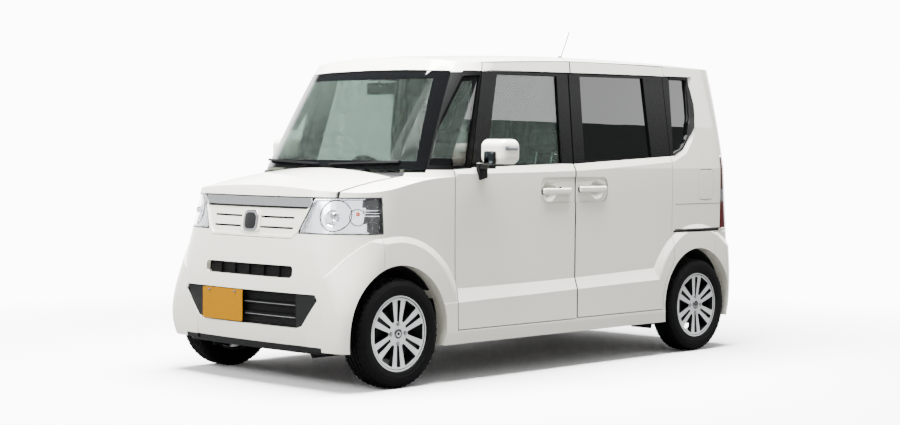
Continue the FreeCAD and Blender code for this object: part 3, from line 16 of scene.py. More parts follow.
import bmesh
import bpy
from mathutils import Matrix, Vector
from mathutils.bvhtree import BVHTree
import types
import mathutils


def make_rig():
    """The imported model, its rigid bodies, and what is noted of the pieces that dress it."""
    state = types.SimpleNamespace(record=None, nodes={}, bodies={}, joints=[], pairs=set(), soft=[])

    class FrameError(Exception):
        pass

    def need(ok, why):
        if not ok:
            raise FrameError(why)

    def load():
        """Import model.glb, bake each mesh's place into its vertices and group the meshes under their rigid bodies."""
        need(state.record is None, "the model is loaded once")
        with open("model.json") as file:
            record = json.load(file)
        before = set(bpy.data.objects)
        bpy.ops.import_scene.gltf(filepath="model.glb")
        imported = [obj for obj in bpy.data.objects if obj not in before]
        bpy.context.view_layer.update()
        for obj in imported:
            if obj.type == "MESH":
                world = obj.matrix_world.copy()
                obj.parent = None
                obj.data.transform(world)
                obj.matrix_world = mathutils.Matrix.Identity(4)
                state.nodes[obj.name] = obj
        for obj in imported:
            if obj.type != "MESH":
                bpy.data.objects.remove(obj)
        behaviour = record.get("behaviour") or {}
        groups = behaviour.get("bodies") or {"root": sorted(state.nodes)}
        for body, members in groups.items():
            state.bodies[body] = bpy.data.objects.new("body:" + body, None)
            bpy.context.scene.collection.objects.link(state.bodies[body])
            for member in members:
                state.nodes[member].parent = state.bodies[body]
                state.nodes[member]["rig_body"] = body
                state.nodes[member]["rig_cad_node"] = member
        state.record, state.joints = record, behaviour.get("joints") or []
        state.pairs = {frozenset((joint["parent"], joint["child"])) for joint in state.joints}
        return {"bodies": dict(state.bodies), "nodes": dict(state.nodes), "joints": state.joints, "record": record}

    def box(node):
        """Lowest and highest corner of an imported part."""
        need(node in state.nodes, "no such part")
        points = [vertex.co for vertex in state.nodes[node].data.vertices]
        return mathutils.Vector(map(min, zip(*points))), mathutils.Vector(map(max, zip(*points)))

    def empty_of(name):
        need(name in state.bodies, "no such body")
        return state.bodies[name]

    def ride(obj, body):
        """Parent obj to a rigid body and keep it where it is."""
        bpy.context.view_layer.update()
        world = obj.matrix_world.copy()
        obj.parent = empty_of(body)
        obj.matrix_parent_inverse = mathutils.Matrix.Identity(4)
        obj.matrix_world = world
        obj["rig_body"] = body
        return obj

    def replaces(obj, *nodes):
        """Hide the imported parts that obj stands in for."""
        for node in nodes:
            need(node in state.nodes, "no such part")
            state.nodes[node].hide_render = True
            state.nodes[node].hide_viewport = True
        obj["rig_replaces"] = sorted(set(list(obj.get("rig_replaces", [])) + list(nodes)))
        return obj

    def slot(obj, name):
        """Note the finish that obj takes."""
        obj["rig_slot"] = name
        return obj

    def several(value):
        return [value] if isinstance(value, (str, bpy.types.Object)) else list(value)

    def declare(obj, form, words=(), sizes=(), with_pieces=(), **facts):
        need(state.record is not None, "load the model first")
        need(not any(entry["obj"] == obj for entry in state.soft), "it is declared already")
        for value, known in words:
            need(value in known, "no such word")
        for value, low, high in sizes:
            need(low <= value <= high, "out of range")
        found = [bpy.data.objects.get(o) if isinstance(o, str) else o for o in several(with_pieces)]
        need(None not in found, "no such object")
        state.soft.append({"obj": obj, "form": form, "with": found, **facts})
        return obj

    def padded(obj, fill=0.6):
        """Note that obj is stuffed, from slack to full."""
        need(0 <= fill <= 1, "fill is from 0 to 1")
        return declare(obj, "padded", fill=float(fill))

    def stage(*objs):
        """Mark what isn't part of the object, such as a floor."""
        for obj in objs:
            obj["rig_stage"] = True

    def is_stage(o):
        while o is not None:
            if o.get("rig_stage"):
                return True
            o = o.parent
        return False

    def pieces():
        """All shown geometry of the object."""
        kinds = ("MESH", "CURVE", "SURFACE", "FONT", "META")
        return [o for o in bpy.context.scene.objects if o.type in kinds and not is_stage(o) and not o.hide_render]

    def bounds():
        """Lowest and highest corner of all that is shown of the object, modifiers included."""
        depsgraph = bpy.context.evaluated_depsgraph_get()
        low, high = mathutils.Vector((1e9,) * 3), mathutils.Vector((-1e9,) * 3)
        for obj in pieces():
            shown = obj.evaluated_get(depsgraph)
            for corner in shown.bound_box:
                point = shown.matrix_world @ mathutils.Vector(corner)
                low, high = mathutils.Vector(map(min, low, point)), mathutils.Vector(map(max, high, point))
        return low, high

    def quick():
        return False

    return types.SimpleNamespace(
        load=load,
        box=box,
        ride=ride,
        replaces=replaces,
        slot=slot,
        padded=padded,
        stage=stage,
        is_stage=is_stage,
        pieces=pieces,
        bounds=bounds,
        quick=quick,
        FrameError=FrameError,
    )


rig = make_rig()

log = logging.getLogger("kei_car")
MM = 0.001
FULL_TURN = 2 * math.pi
HALF_LENGTH = 3.395 / 2
FRONT_AXLE = 0.413 - HALF_LENGTH
REAR_AXLE = FRONT_AXLE + 2.520
HUB_HEIGHT = 0.557 / 2
WHEEL_X = 1.305 / 2
SIDES = ((1, "left"), (-1, "right"))
Socket = bpy.types.NodeSocket
Level = float | Socket
Owner = bpy.types.Material | bpy.types.World
Nodes = dict[str, bpy.types.Object]
Point = tuple[float, float]
Place = tuple[float, float, float]


# --- Materials ------------------------------------------------------------------------------


def linear(hex_colour: str, alpha: float = 1.0) -> tuple[float, float, float, float]:
    """Turn an sRGB hex colour into linear light.

    Args:
        hex_colour: Six hex digits.
        alpha: The fourth channel.

    Returns:
        Red, green, blue and alpha.
    """
    channels = [int(hex_colour[i:i + 2], 16) / 255 for i in (0, 2, 4)]
    red, green, blue = (c / 12.92 if c <= 0.04045 else ((c + 0.055) / 1.055) ** 2.4 for c in channels)
    return red, green, blue, alpha


def add_node(owner: Owner, kind: str,
             settings: dict[str | int, object] | None = None) -> bpy.types.Node:
    """Add a shader node.

    Args:
        owner: The material or surround that gets it.
        kind: The node's type name after "ShaderNode".
        settings: By property name, or by input name or number, a value or the socket that feeds it.

    Returns:
        The new node.
    """
    node = owner.node_tree.nodes.new(f"ShaderNode{kind}")
    for name, value in (settings or {}).items():
        if isinstance(value, Socket):
            owner.node_tree.links.new(value, node.inputs[name])
        elif isinstance(name, int) or name in node.inputs:
            node.inputs[name].default_value = value
        else:
            setattr(node, name, value)
    return node


def maths(owner: Owner, operation: str, first: Level,
          second: Level) -> Socket:
    """The result of an operation on two numbers or sockets."""
    return add_node(owner, "Math", {"operation": operation, 0: first, 1: second}).outputs[0]


def ramp(owner: Owner, value: Socket,
         ends: tuple[Level, Level] = (0.0, 1.0), span: Point = (0.0, 1.0)) -> Socket:
    """Map a value from a span to two ends.

    Args:
        owner: The material or surround that gets the node.
        value: The socket with the value.
        ends: The results at the span's start and end.
        span: The values that give them.

    Returns:
        The socket with the result.
    """
    return add_node(owner, "MapRange", {"From Min": span[0], "From Max": span[1], "To Min": ends[0],
                                        "To Max": ends[1], "Value": value}).outputs[0]


def own_place(made: bpy.types.Material) -> Socket:
    """The point on the object, in its own coordinates."""
    return add_node(made, "TexCoord").outputs["Object"]


def split(owner: Owner, place: Socket) -> bpy.types.bpy_prop_collection:
    """The X, Y and Z of a place or direction."""
    return add_node(owner, "SeparateXYZ", {0: place}).outputs


def put(name: str, data: bpy.types.ID) -> bpy.types.Object:
    """A new object in the scene."""
    made = bpy.data.objects.new(name, data)
    bpy.context.scene.collection.objects.link(made)
    return made


class Pattern(Enum):
    """How a finish's fine surface is laid out."""

    MOTTLE = "cloudy, as cast, painted and rolled surfaces are"
    GRAIN = "small pebbles, as moulded plastic and leather have"
    WEAVE = "threads over and under each other"
    FLUTES = "level ribs, as a reflector has"
    GRID = "a net of thin bars"


@dataclass(frozen=True)
class Finish:
    """A surface finish on the principled shader, with one fine pattern at a real size."""

    name: str
    colour: str
    second: str
    pattern: Pattern = Pattern.MOTTLE
    size_mm: float = 2.0
    relief_mm: float = 0.0
    rough: Point = (0.4, 0.5)
    settings: dict[str, float] = field(default_factory=dict)

    def material(self) -> bpy.types.Material:
        """The Blender material, made once."""
        made = bpy.data.materials.get(self.name)
        if made is None:
            made = bpy.data.materials.new(self.name)
            made.use_nodes = True
            shader = made.node_tree.nodes["Principled BSDF"]
            for name, value in self.settings.items():
                shader.inputs[name].default_value = value
            self.draw(made, shader)
        return made

    def draw(self, made: bpy.types.Material, shader: bpy.types.Node) -> None:
        """Link the pattern to the shader's colour, roughness and normal."""
        height = self.height(made)
        self.colour_by(made, shader, height)
        made.node_tree.links.new(ramp(made, height, self.rough), shader.inputs["Roughness"])
        if self.relief_mm:
            relief = add_node(made, "Bump", {"Distance": self.relief_mm * MM, "Height": height})
            made.node_tree.links.new(relief.outputs[0], shader.inputs["Normal"])

    def colour_by(self, made: bpy.types.Material, shader: bpy.types.Node, share: Socket) -> None:
        """Mix the second colour into the first by a share."""
        tint = add_node(made, "Mix", {"data_type": "RGBA", 6: linear(self.colour), 7: linear(self.second),
                                      0: share})
        made.node_tree.links.new(tint.outputs[2], shader.inputs["Base Color"])

    def height(self, made: bpy.types.Material) -> Socket:
        """The pattern from 0 to 1 on the object's own coordinates."""
        place = own_place(made)
        scale = 1 / (self.size_mm * MM)
        if self.pattern is Pattern.MOTTLE:
            return add_node(made, "TexNoise", {"Scale": scale, "Detail": 3.0, "Vector": place}).outputs[0]
        if self.pattern is Pattern.GRAIN:
            return add_node(made, "TexVoronoi", {"Scale": scale, "Vector": place}).outputs[0]
        if self.pattern is Pattern.FLUTES:
            return self.wave(made, "Z", place)
        axes = split(made, place)
        flat = add_node(made, "CombineXYZ", {0: axes[0], 1: maths(made, "ADD", axes[1], axes[2])}).outputs[0]
        waves = [self.wave(made, axis, flat) for axis in "XY"]
        if self.pattern is Pattern.WEAVE:
            return maths(made, "MULTIPLY", *waves)
        return ramp(made, maths(made, "MAXIMUM", *waves), span=(0.86, 0.96))

    def wave(self, made: bpy.types.Material, axis: str, place: Socket) -> Socket:
        """Bands across an axis, as wide as the pattern's size."""
        settings = {"bands_direction": axis, "Scale": FULL_TURN / 20 / (self.size_mm * MM), "Vector": place}
        return add_node(made, "TexWave", settings).outputs[1]


@dataclass(frozen=True)
class Border:
    """The clear part of a pane inside its fired black border, along one axis at its foot and top."""

    axis: int
    foot: Point
    top: Point
    heights: Point


@dataclass(frozen=True)
class Glazing(Finish):
    """Tinted glass, with a fired black border where it has one."""

    alpha: float = 0.35
    border: Border | None = None
    through: float = 1.0

    def draw(self, made: bpy.types.Material, shader: bpy.types.Node) -> None:
        """Mix the clear glass and the black border by place."""
        shader.inputs["Transmission Weight"].default_value = self.through
        shader.inputs["Roughness"].default_value = 0.0
        if self.border is None:
            shader.inputs["Base Color"].default_value = linear(self.colour)
            shader.inputs["Alpha"].default_value = self.alpha
            return
        foot, top = self.border.heights
        axes = split(made, own_place(made))
        tests = [maths(made, "LESS_THAN", axes[2], foot), maths(made, "GREATER_THAN", axes[2], top)]
        ends = zip(self.border.foot, self.border.top)
        for ends_at, operation in zip(ends, ("LESS_THAN", "GREATER_THAN")):
            line = ramp(made, axes[2], ends_at, (foot, top))
            tests.append(maths(made, operation, axes[self.border.axis], line))
        edge = tests[0]
        for test in tests[1:]:
            edge = maths(made, "MAXIMUM", edge, test)
        self.colour_by(made, shader, edge)
        made.node_tree.links.new(ramp(made, edge, (self.alpha, 1.0)), shader.inputs["Alpha"])
        made.node_tree.links.new(ramp(made, edge, (1.0, 0.0)), shader.inputs["Transmission Weight"])


@dataclass(frozen=True)
class Parting(Finish):
    """Black film below a level, white paint above it."""

    level: float = 1.634

    def draw(self, made: bpy.types.Material, shader: bpy.types.Node) -> None:
        """Mix the two by height."""
        height = split(made, own_place(made))[2]
        self.colour_by(made, shader, maths(made, "GREATER_THAN", height, self.level))


@dataclass(frozen=True)
class FadingFloor(Finish):
    """A pale floor that fades into the white surround away from the car."""

    fade: Point = (2.3, 5.2)
    bounce: float = 0.12

    def draw(self, made: bpy.types.Material, shader: bpy.types.Node) -> None:
        """Add the fade to the paint."""
        super().draw(made, shader)
        away = add_node(made, "VectorMath", {"operation": "LENGTH", 0: own_place(made)}).outputs["Value"]
        left = add_node(made, "MapRange", {"From Min": self.fade[0], "From Max": self.fade[1], "To Min": 1.0,
                                           "To Max": 0.0, "interpolation_type": "SMOOTHSTEP", "Value": away})
        made.node_tree.links.new(left.outputs[0], shader.inputs["Alpha"])
        level = ramp(made, add_node(made, "LightPath").outputs["Is Camera Ray"], (self.bounce, 1.0))
        paint = shader.inputs["Base Color"].links[0].from_socket
        bright = add_node(made, "VectorMath", {"operation": "SCALE", 0: paint, "Scale": level})
        made.node_tree.links.new(bright.outputs[0], shader.inputs["Base Color"])


COAT = {"Coat Weight": 1.0, "Coat Roughness": 0.02, "Coat IOR": 1.5}
METAL = {"Metallic": 1.0}
# Pearl enamel under clear lacquer: mica flakes, drawn at 3 mm to show, give a soft white.
PEARL = Finish("pearl_enamel", "f5f3e6", "eceada", size_mm=3, rough=(0.30, 0.38), settings=COAT)
# Black lacquer film on the window sashes: deep and mirror-like, with a faint orange peel.
SASH = Finish("black_sash_film", "0a0b0b", "0e0f10", size_mm=9, relief_mm=0.02, rough=(0.22, 0.30),
              settings={"Specular IOR Level": 0.10})
# The front pillars' outer skin: white paint at the roof, black film from there down.
PILLAR = Parting("filmed_pillar_paint", "080909", "f5f3e6", settings={"Specular IOR Level": 0.05})
# Wiper arm enamel: matt black.
ARM = Finish("matt_wiper_enamel", "050506", "08080a", size_mm=4, rough=(0.5, 0.62),
             settings={"Specular IOR Level": 0.10})
# Grained black polypropylene: pebbled, so its highlights are broad and grey.
PLASTIC = Finish("grained_black_polypropylene", "121314", "0b0c0d", Pattern.GRAIN, 1.6, 0.25, (0.5, 0.66),
                 {"Specular IOR Level": 0.22})
# Smooth black ABS: moulded in a polished tool. The same black draws the rings of painted shadow at the headlamp bowls'
# rims.
GLOSS_AND_RIM_SHADOW = Finish("polished_black_abs_and_rim_shadow", "0c0c0d", "131415", size_mm=12, rough=(0.18, 0.26))
# Needled felt arch liner: matt and fibrous.
LINER = Finish("needled_felt_liner", "0d0d0e", "161617", size_mm=3.5, relief_mm=0.6, rough=(0.85, 0.95))
# EPDM rubber seal: dull black with a chalky bloom. The same black is laid as painted shade on the doors' edge faces in
# the shut gaps and along the quarter panel's seam.
SEAL_AND_GAP_SHADE = Finish("epdm_rubber_seal_and_gap_shade", "0b0b0b", "151515", size_mm=5, rough=(0.6, 0.75))
# Tyre rubber: carbon black, with a finely scuffed surface.
TYRE = Finish("tyre_rubber", "060607", "0b0b0c", size_mm=2.5, relief_mm=0.12, rough=(0.6, 0.75),
              settings={"Specular IOR Level": 0.12})
# Diamond-turned cast aluminium under lacquer: bright, with fine tool marks.
TURNED = Finish("diamond_turned_aluminium", "f1f2f3", "e2e4e6", size_mm=1.2, relief_mm=0.02,
                rough=(0.18, 0.3), settings={"Metallic": 0.35, "Coat Weight": 0.6, "Coat Roughness": 0.05})
# Dark grey wheel enamel: satin, in the pockets between the turned ribs.
WHEEL_DARK = Finish("dark_wheel_enamel", "2a2c2e", "333538", size_mm=4, rough=(0.35, 0.45),
                    settings={"Metallic": 0.5})
# Grey cast iron of the brakes, with a turned rust-free face.
IRON = Finish("cast_iron", "3d3e40", "2c2d2f", size_mm=3, relief_mm=0.15, rough=(0.45, 0.6),
              settings={"Metallic": 0.8})
# Zinc-plated steel of bolts and nuts: cloudy and pale.
ZINC = Finish("zinc_plated_steel", "a8abad", "8d9093", size_mm=2, rough=(0.25, 0.4), settings=METAL)
# Black chassis coating over pressed steel: satin and a little uneven.
COATED = Finish("chassis_coating", "17181a", "222325", size_mm=6, relief_mm=0.1, rough=(0.5, 0.7))
# Stainless exhaust steel: rolled, slightly tinted by heat.
STAINLESS = Finish("rolled_stainless_steel", "8f8a82", "736f69", size_mm=8, rough=(0.3, 0.45), settings=METAL)
# Chromium plate over ABS: a near mirror, barely clouded.
CHROME = Finish("chromium_plate", "d6d8db", "c4c7cb", size_mm=20, rough=(0.05, 0.1), settings=METAL)
# Smoked mirror glass of the small square mirror: dark, with a crisp reflection.
SMOKED = Finish("smoked_mirror_glass", "3b4145", "2c3134", size_mm=30, rough=(0.03, 0.06), settings=METAL)
# Clear polycarbonate lens with a hard coat: all but unseen, with sharp highlights.
LENS = Glazing("polycarbonate_lens", "f4f8fa", "0b0b0c", alpha=0.16)
# Red acrylic lens over fine ribs.
RED_LENS = Finish("red_acrylic_lens", "640b0e", "3c0608", Pattern.FLUTES, 7, 0.3, (0.08, 0.14), COAT)
# Clear acrylic band of the rear lamps over a silvered back.
CLEAR_LENS = Finish("clear_acrylic_lens", "b9bdc0", "8f9497", Pattern.FLUTES, 7, 0.3, (0.06, 0.12),
                    {**COAT, "Metallic": 0.6})
# Amber acrylic cap of the turn lamp's bulb.
AMBER = Finish("amber_acrylic", "c4512a", "a63f1f", size_mm=6, rough=(0.1, 0.16), settings=COAT)
# Green-tinted safety glass: clear enough to show the cabin, with sharp reflections.
GREEN_GLASS = Glazing("green_safety_glass", "5f6d66", "08090a", alpha=0.92)
# The laminated windscreen has a fired black border, deepest along its top.
SCREEN_GLASS = Glazing("laminated_windscreen_glass", "7a8981", "08090a", alpha=0.86,
                       border=Border(0, (-0.585, 0.585), (-0.485, 0.485), (1.150, 1.590)))
# The small fixed pane ahead of each front door, black round a leaning clear part.
CORNER_GLASS = Glazing("bordered_corner_glass", "7a8981", "08090a", alpha=0.86,
                       border=Border(1, (-0.975, -0.762), (-0.779, -0.672), (1.165, 1.580)))
# Dark privacy glass behind the front doors: black but for its reflections.
PRIVACY_GLASS = Glazing("dark_privacy_glass", "0c100f", "08090a", alpha=1.0, through=0.0)
# Silvered mirror glass: a bright, exact reflection.
MIRROR = Finish("silvered_mirror_glass", "e6e9ea", "dde1e2", size_mm=40, rough=(0.02, 0.03), settings=METAL)
# Yellow baked enamel on the pressed aluminium plate.
YELLOW = Finish("yellow_plate_enamel", "a47000", "9c6a00", size_mm=18, rough=(0.45, 0.55),
                settings={"Specular IOR Level": 0.05})
# Dark net of the intakes: thin bars of black polypropylene, the cells between them near-black as painted shade of the
# hollow behind.
NET_AND_HOLLOW_SHADE = Finish("intake_net_and_hollow_shade", "030303", "101112", Pattern.GRID, 12, 0.9, (0.5, 0.6),
             {"Specular IOR Level": 0.12})
# Grained dashboard and door trim in grey-beige polypropylene, matt; and a darker one.
TRIM = Finish("grained_grey_trim", "6d7068", "5c5f58", Pattern.GRAIN, 2.2, 0.25, (0.6, 0.75))
DARK_TRIM = Finish("grained_dark_trim", "2a2b2a", "1f201f", Pattern.GRAIN, 2.2, 0.25, (0.6, 0.75))
# Napped headlining: pale, matt and slightly fuzzy.
HEADLINING = Finish("napped_headlining", "a9aaa2", "9a9b93", size_mm=2.5, relief_mm=0.3, rough=(0.9, 0.98),
                    settings={"Sheen Weight": 0.3})
# Loop-pile carpet: dark and matt, with a rough nap.
CARPET = Finish("loop_pile_carpet", "3b3c3a", "2b2c2b", size_mm=5, relief_mm=2.0, rough=(0.9, 1.0))
# Woven polyester seat cloth; threads drawn at 4 mm, coarser than real, so that they show.
CLOTH = Finish("woven_polyester_cloth", "77786f", "6a6b63", Pattern.WEAVE, 4, 0.3, (0.8, 0.9),
               {"Sheen Weight": 0.25})
# Grained leather of the steering wheel: dark, with soft highlights.
LEATHER = Finish("grained_leather", "1c1c1c", "131313", Pattern.GRAIN, 1.8, 0.2, (0.4, 0.55))
# Matt floor of the studio: white, catching soft shadows.
STUDIO_FLOOR = FadingFloor("matt_studio_floor", "f8f8f8", "f5f5f5", size_mm=900, rough=(0.9, 0.95))
SLOTS = {
    "white_paint": PEARL, "black_plastic": PLASTIC, "dark_trim": TRIM, "steel": COATED, "cast": COATED,
    "aluminium": WHEEL_DARK, "clear_glass": GREEN_GLASS, "privacy_glass": PRIVACY_GLASS, "lamp_clear": LENS,
    "lamp_red": RED_LENS, "chrome": CHROME, "tyre": TYRE, "seat_fabric": CLOTH, "plate_yellow": YELLOW,
}


# --- Mesh helpers -----------------------------------------------------------------------------


class Shape:
    """One mesh in the making, joined from turned, blocked and rodded parts."""

    def __init__(self) -> None:
        """Start empty."""
        self.bm = bmesh.new()

    def join(self, part: bmesh.types.BMesh, matrix: Matrix | None) -> Shape:
        """Take in a part, moved by a transform."""
        if matrix is not None:
            bmesh.ops.transform(part, matrix=matrix, verts=part.verts)
        mesh = bpy.data.meshes.new("part")
        part.to_mesh(mesh)
        part.free()
        self.bm.from_mesh(mesh)
        bpy.data.meshes.remove(mesh)
        return self

    def block(self, low: Sequence[float], high: Sequence[float], bevel: float = 0.003, segments: int = 3,
              matrix: Matrix | None = None) -> Shape:
        """Add a box with rounded edges.

        Args:
            low: Its low corner.
            high: Its high corner.
            bevel: Its edges' radius.
            segments: The faces round each edge.
            matrix: A transform for the finished box.

        Returns:
            This shape.
        """
        part = bmesh.new()
        low, high = Vector(low), Vector(high)
        bmesh.ops.create_cube(part, size=1, matrix=Matrix.Translation((low + high) / 2)
                              @ Matrix.Diagonal((*(high - low), 1)))
        bmesh.ops.bevel(part, geom=part.edges, offset=bevel, segments=segments, profile=0.5,
                        affect="EDGES", material=-1)
        return self.join(part, matrix)

    def turned(self, profile: Sequence[Point], steps: int = 48,
               matrix: Matrix | None = None) -> Shape:
        """Add a profile of (axial, radial) points turned about X.

        Args:
            profile: The points; ends on the axis close the shape.
            steps: The faces round it.
            matrix: A transform for the turned shape.

        Returns:
            This shape.
        """
        part = bmesh.new()
        verts = [part.verts.new((axial, 0, radial)) for axial, radial in profile]
        edges = [part.edges.new(pair) for pair in zip(verts, verts[1:])]
        bmesh.ops.spin(part, geom=verts + edges, axis=(1, 0, 0), cent=(0, 0, 0), dvec=(0, 0, 0),
                       angle=FULL_TURN, steps=steps, use_merge=True)
        bmesh.ops.remove_doubles(part, verts=part.verts, dist=1e-6)
        return self.join(part, matrix)

    def rod(self, start_at: Sequence[float], end_at: Sequence[float], radius: float,
            end_radius: float | None = None, segments: int = 16) -> Shape:
        """Add a round or tapered bar between two points.

        Args:
            start_at: One end.
            end_at: The other end.
            radius: The radius at the first end.
            end_radius: The radius at the other end, or the same.
            segments: The faces round it.

        Returns:
            This shape.
        """
        start_at, end_at = Vector(start_at), Vector(end_at)
        run = end_at - start_at
        turn = run.to_track_quat("Z", "Y").to_matrix().to_4x4()
        bmesh.ops.create_cone(self.bm, cap_ends=True, segments=segments, radius1=radius,
                              radius2=radius if end_radius is None else end_radius, depth=run.length,
                              matrix=Matrix.Translation((start_at + end_at) / 2) @ turn)
        return self

    def chain(self, points: Sequence[Vector], radius: float, end_radius: float | None = None,
              segments: int = 16, reach: float = math.inf) -> Shape:
        """Add bars from point to point.

        Args:
            points: The points in turn.
            radius: Each bar's radius.
            end_radius: Each bar's radius at its far end, or the same.
            segments: The faces round each bar.
            reach: The gap from which two points are left apart.

        Returns:
            This shape.
        """
        for first, second in zip(points, points[1:]):
            if (first - second).length < reach:
                self.rod(first, second, radius, end_radius, segments)
        return self

    def plaque(self, half: Point, deep: float, bevel: float, matrix: Matrix) -> Shape:
        """Add a rounded-square slab that faces -Y.

        Args:
            half: Its half width and half height.
            deep: Its thickness, centred on the origin.
            bevel: The radius of its rims.
            matrix: A transform for the slab.

        Returns:
            This shape.
        """
        part = bmesh.new()
        bmesh.ops.create_circle(part, cap_ends=True, segments=64, radius=1)
        for vert in part.verts:
            turn = math.atan2(vert.co.y, vert.co.x)
            across, up = math.cos(turn), math.sin(turn)
            vert.co = Vector((half[0] * math.copysign(abs(across) ** 0.55, across), deep / 2,
                              half[1] * math.copysign(abs(up) ** 0.55, up)))
        grown = bmesh.ops.extrude_face_region(part, geom=part.faces[:])["geom"]
        fronts = [item for item in grown if isinstance(item, bmesh.types.BMVert)]
        bmesh.ops.translate(part, vec=(0, -deep, 0), verts=fronts)
        rims = [edge for edge in part.edges if abs(edge.verts[0].co.y - edge.verts[1].co.y) < 1e-6]
        bmesh.ops.bevel(part, geom=rims, offset=bevel, segments=3, profile=0.5, affect="EDGES", material=-1)
        return self.join(part, matrix)

    def sheet(self, skin: Skin, rows: Sequence[Sequence[Point]], rise: float) -> Shape:
        """Add a thin sheet laid on the car's left side.

        Args:
            skin: The surface it lies on.
            rows: Lines of (y, z) points, equally many in each, from one edge to the other.
            rise: How far it stands off the surface.

        Returns:
            This shape.
        """
        part = bmesh.new()
        lines = []
        for row in rows:
            line = [part.verts.new((skin.left(y, z).x + rise, y, z)) for y, z in row]
            lines.append([part.edges.new(pair) for pair in zip(line, line[1:])])
        for first, second in zip(lines, lines[1:]):
            bmesh.ops.bridge_loops(part, edges=first + second)
        bmesh.ops.recalc_face_normals(part, faces=part.faces)
        bmesh.ops.solidify(part, geom=part.faces[:], thickness=0.003)
        return self.join(part, None)

    def band(self, skin: Skin, start: Point, end_y: float, width: float, rise: float) -> Shape:
        """Add a level strip laid along the car's left side.

        Args:
            skin: The surface it lies on.
            start: The (y, z) of its front end.
            end_y: The y of its rear end.
            width: Its height.
            rise: How far it stands off the surface.

        Returns:
            This shape.
        """
        steps = [start[0] + (end_y - start[0]) * number / 12 for number in range(13)]
        levels = (-0.5, -0.3, -0.1, 0.1, 0.3, 0.5)
        return self.sheet(skin, [[(y, start[1] + level * width) for y in steps] for level in levels], rise)

    def on_side(self, side: int) -> Shape:
        """This shape, mirrored where the side is the car's right."""
        bmesh.ops.scale(self.bm, vec=(side, 1, 1), verts=self.bm.verts)
        return self

    def piece(self, name: str, finish: Finish, body: str, slot: str,
              sharp_degrees: float = 35.0) -> bpy.types.Object:
        """Close the mesh into a named object that rides on a body.

        Args:
            name: The piece's name.
            finish: Its finish.
            body: The body it rides on.
            slot: The record's material slot that the finish belongs to.
            sharp_degrees: The angle past which an edge stays sharp.

        Returns:
            The new object.
        """
        bmesh.ops.recalc_face_normals(self.bm, faces=self.bm.faces)
        mesh = bpy.data.meshes.new(name)
        self.bm.to_mesh(mesh)
        self.bm.free()
        mesh.shade_smooth()
        mesh.set_sharp_from_angle(angle=math.radians(sharp_degrees))
        mesh.materials.append(finish.material())
        made = put(name, mesh)
        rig.ride(made, body)
        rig.slot(made, slot)
        log.info("made %s, %d faces", name, len(mesh.polygons))
        return made


class Skin:
    """The outer surface of some CAD nodes, for setting pieces on it."""

    def __init__(self, nodes: Nodes, *names: str) -> None:
        """Read the nodes' triangles."""
        points: list[Vector] = []
        faces: list[tuple[int, ...]] = []
        for name in names:
            mesh = nodes[name].data
            shift = len(points)
            points.extend(vert.co.copy() for vert in mesh.vertices)
            faces.extend(tuple(shift + corner for corner in polygon.vertices) for polygon in mesh.polygons)
        self.tree = BVHTree.FromPolygons(points, faces)

    def hit(self, origin: Sequence[float], direction: Sequence[float]) -> tuple[Vector, Vector]:
        """Where a line from a point first meets the surface.

        Args:
            origin: The line's start.
            direction: Its direction.

        Returns:
            The point met and the surface's normal there, turned back along the line.
        """
        place, normal, _, _ = self.tree.ray_cast(Vector(origin), Vector(direction).normalized())
        if place is None:
            raise ValueError(f"no surface along {direction} from {origin}")
        if normal.dot(Vector(direction)) > 0:
            normal.negate()
        return place, normal

    def front(self, x: float, z: float) -> Vector:
        """The point met from the front at an x and z."""
        return self.hit((x, -2, z), (0, 1, 0))[0]

    def left(self, y: float, z: float) -> Vector:
        """The point met from the car's left at a y and z."""
        return self.hit((2, y, z), (-1, 0, 0))[0]

    def rear(self, x: float, z: float) -> tuple[Vector, Vector]:
        """The point met from behind at an x and z, and the normal there."""
        return self.hit((x, 3, z), (0, -1, 0))


# --- The CAD nodes' own finishes ----------------------------------------------------------------

Test = Callable[[Vector, Vector], bool]


def inside(point: Point, outline: Sequence[Point]) -> bool:
    """Whether a flat point lies within a closed outline."""
    found = False
    for (x0, y0), (x1, y1) in zip(outline, (*outline[1:], outline[0])):
        if (y0 > point[1]) != (y1 > point[1]) and point[0] < (x1 - x0) * (point[1] - y0) / (y1 - y0) + x0:
            found = not found
    return found


def side_of(place: Vector) -> float:
    """+1 on the car's left and -1 on its right."""
    return math.copysign(1.0, place.x)


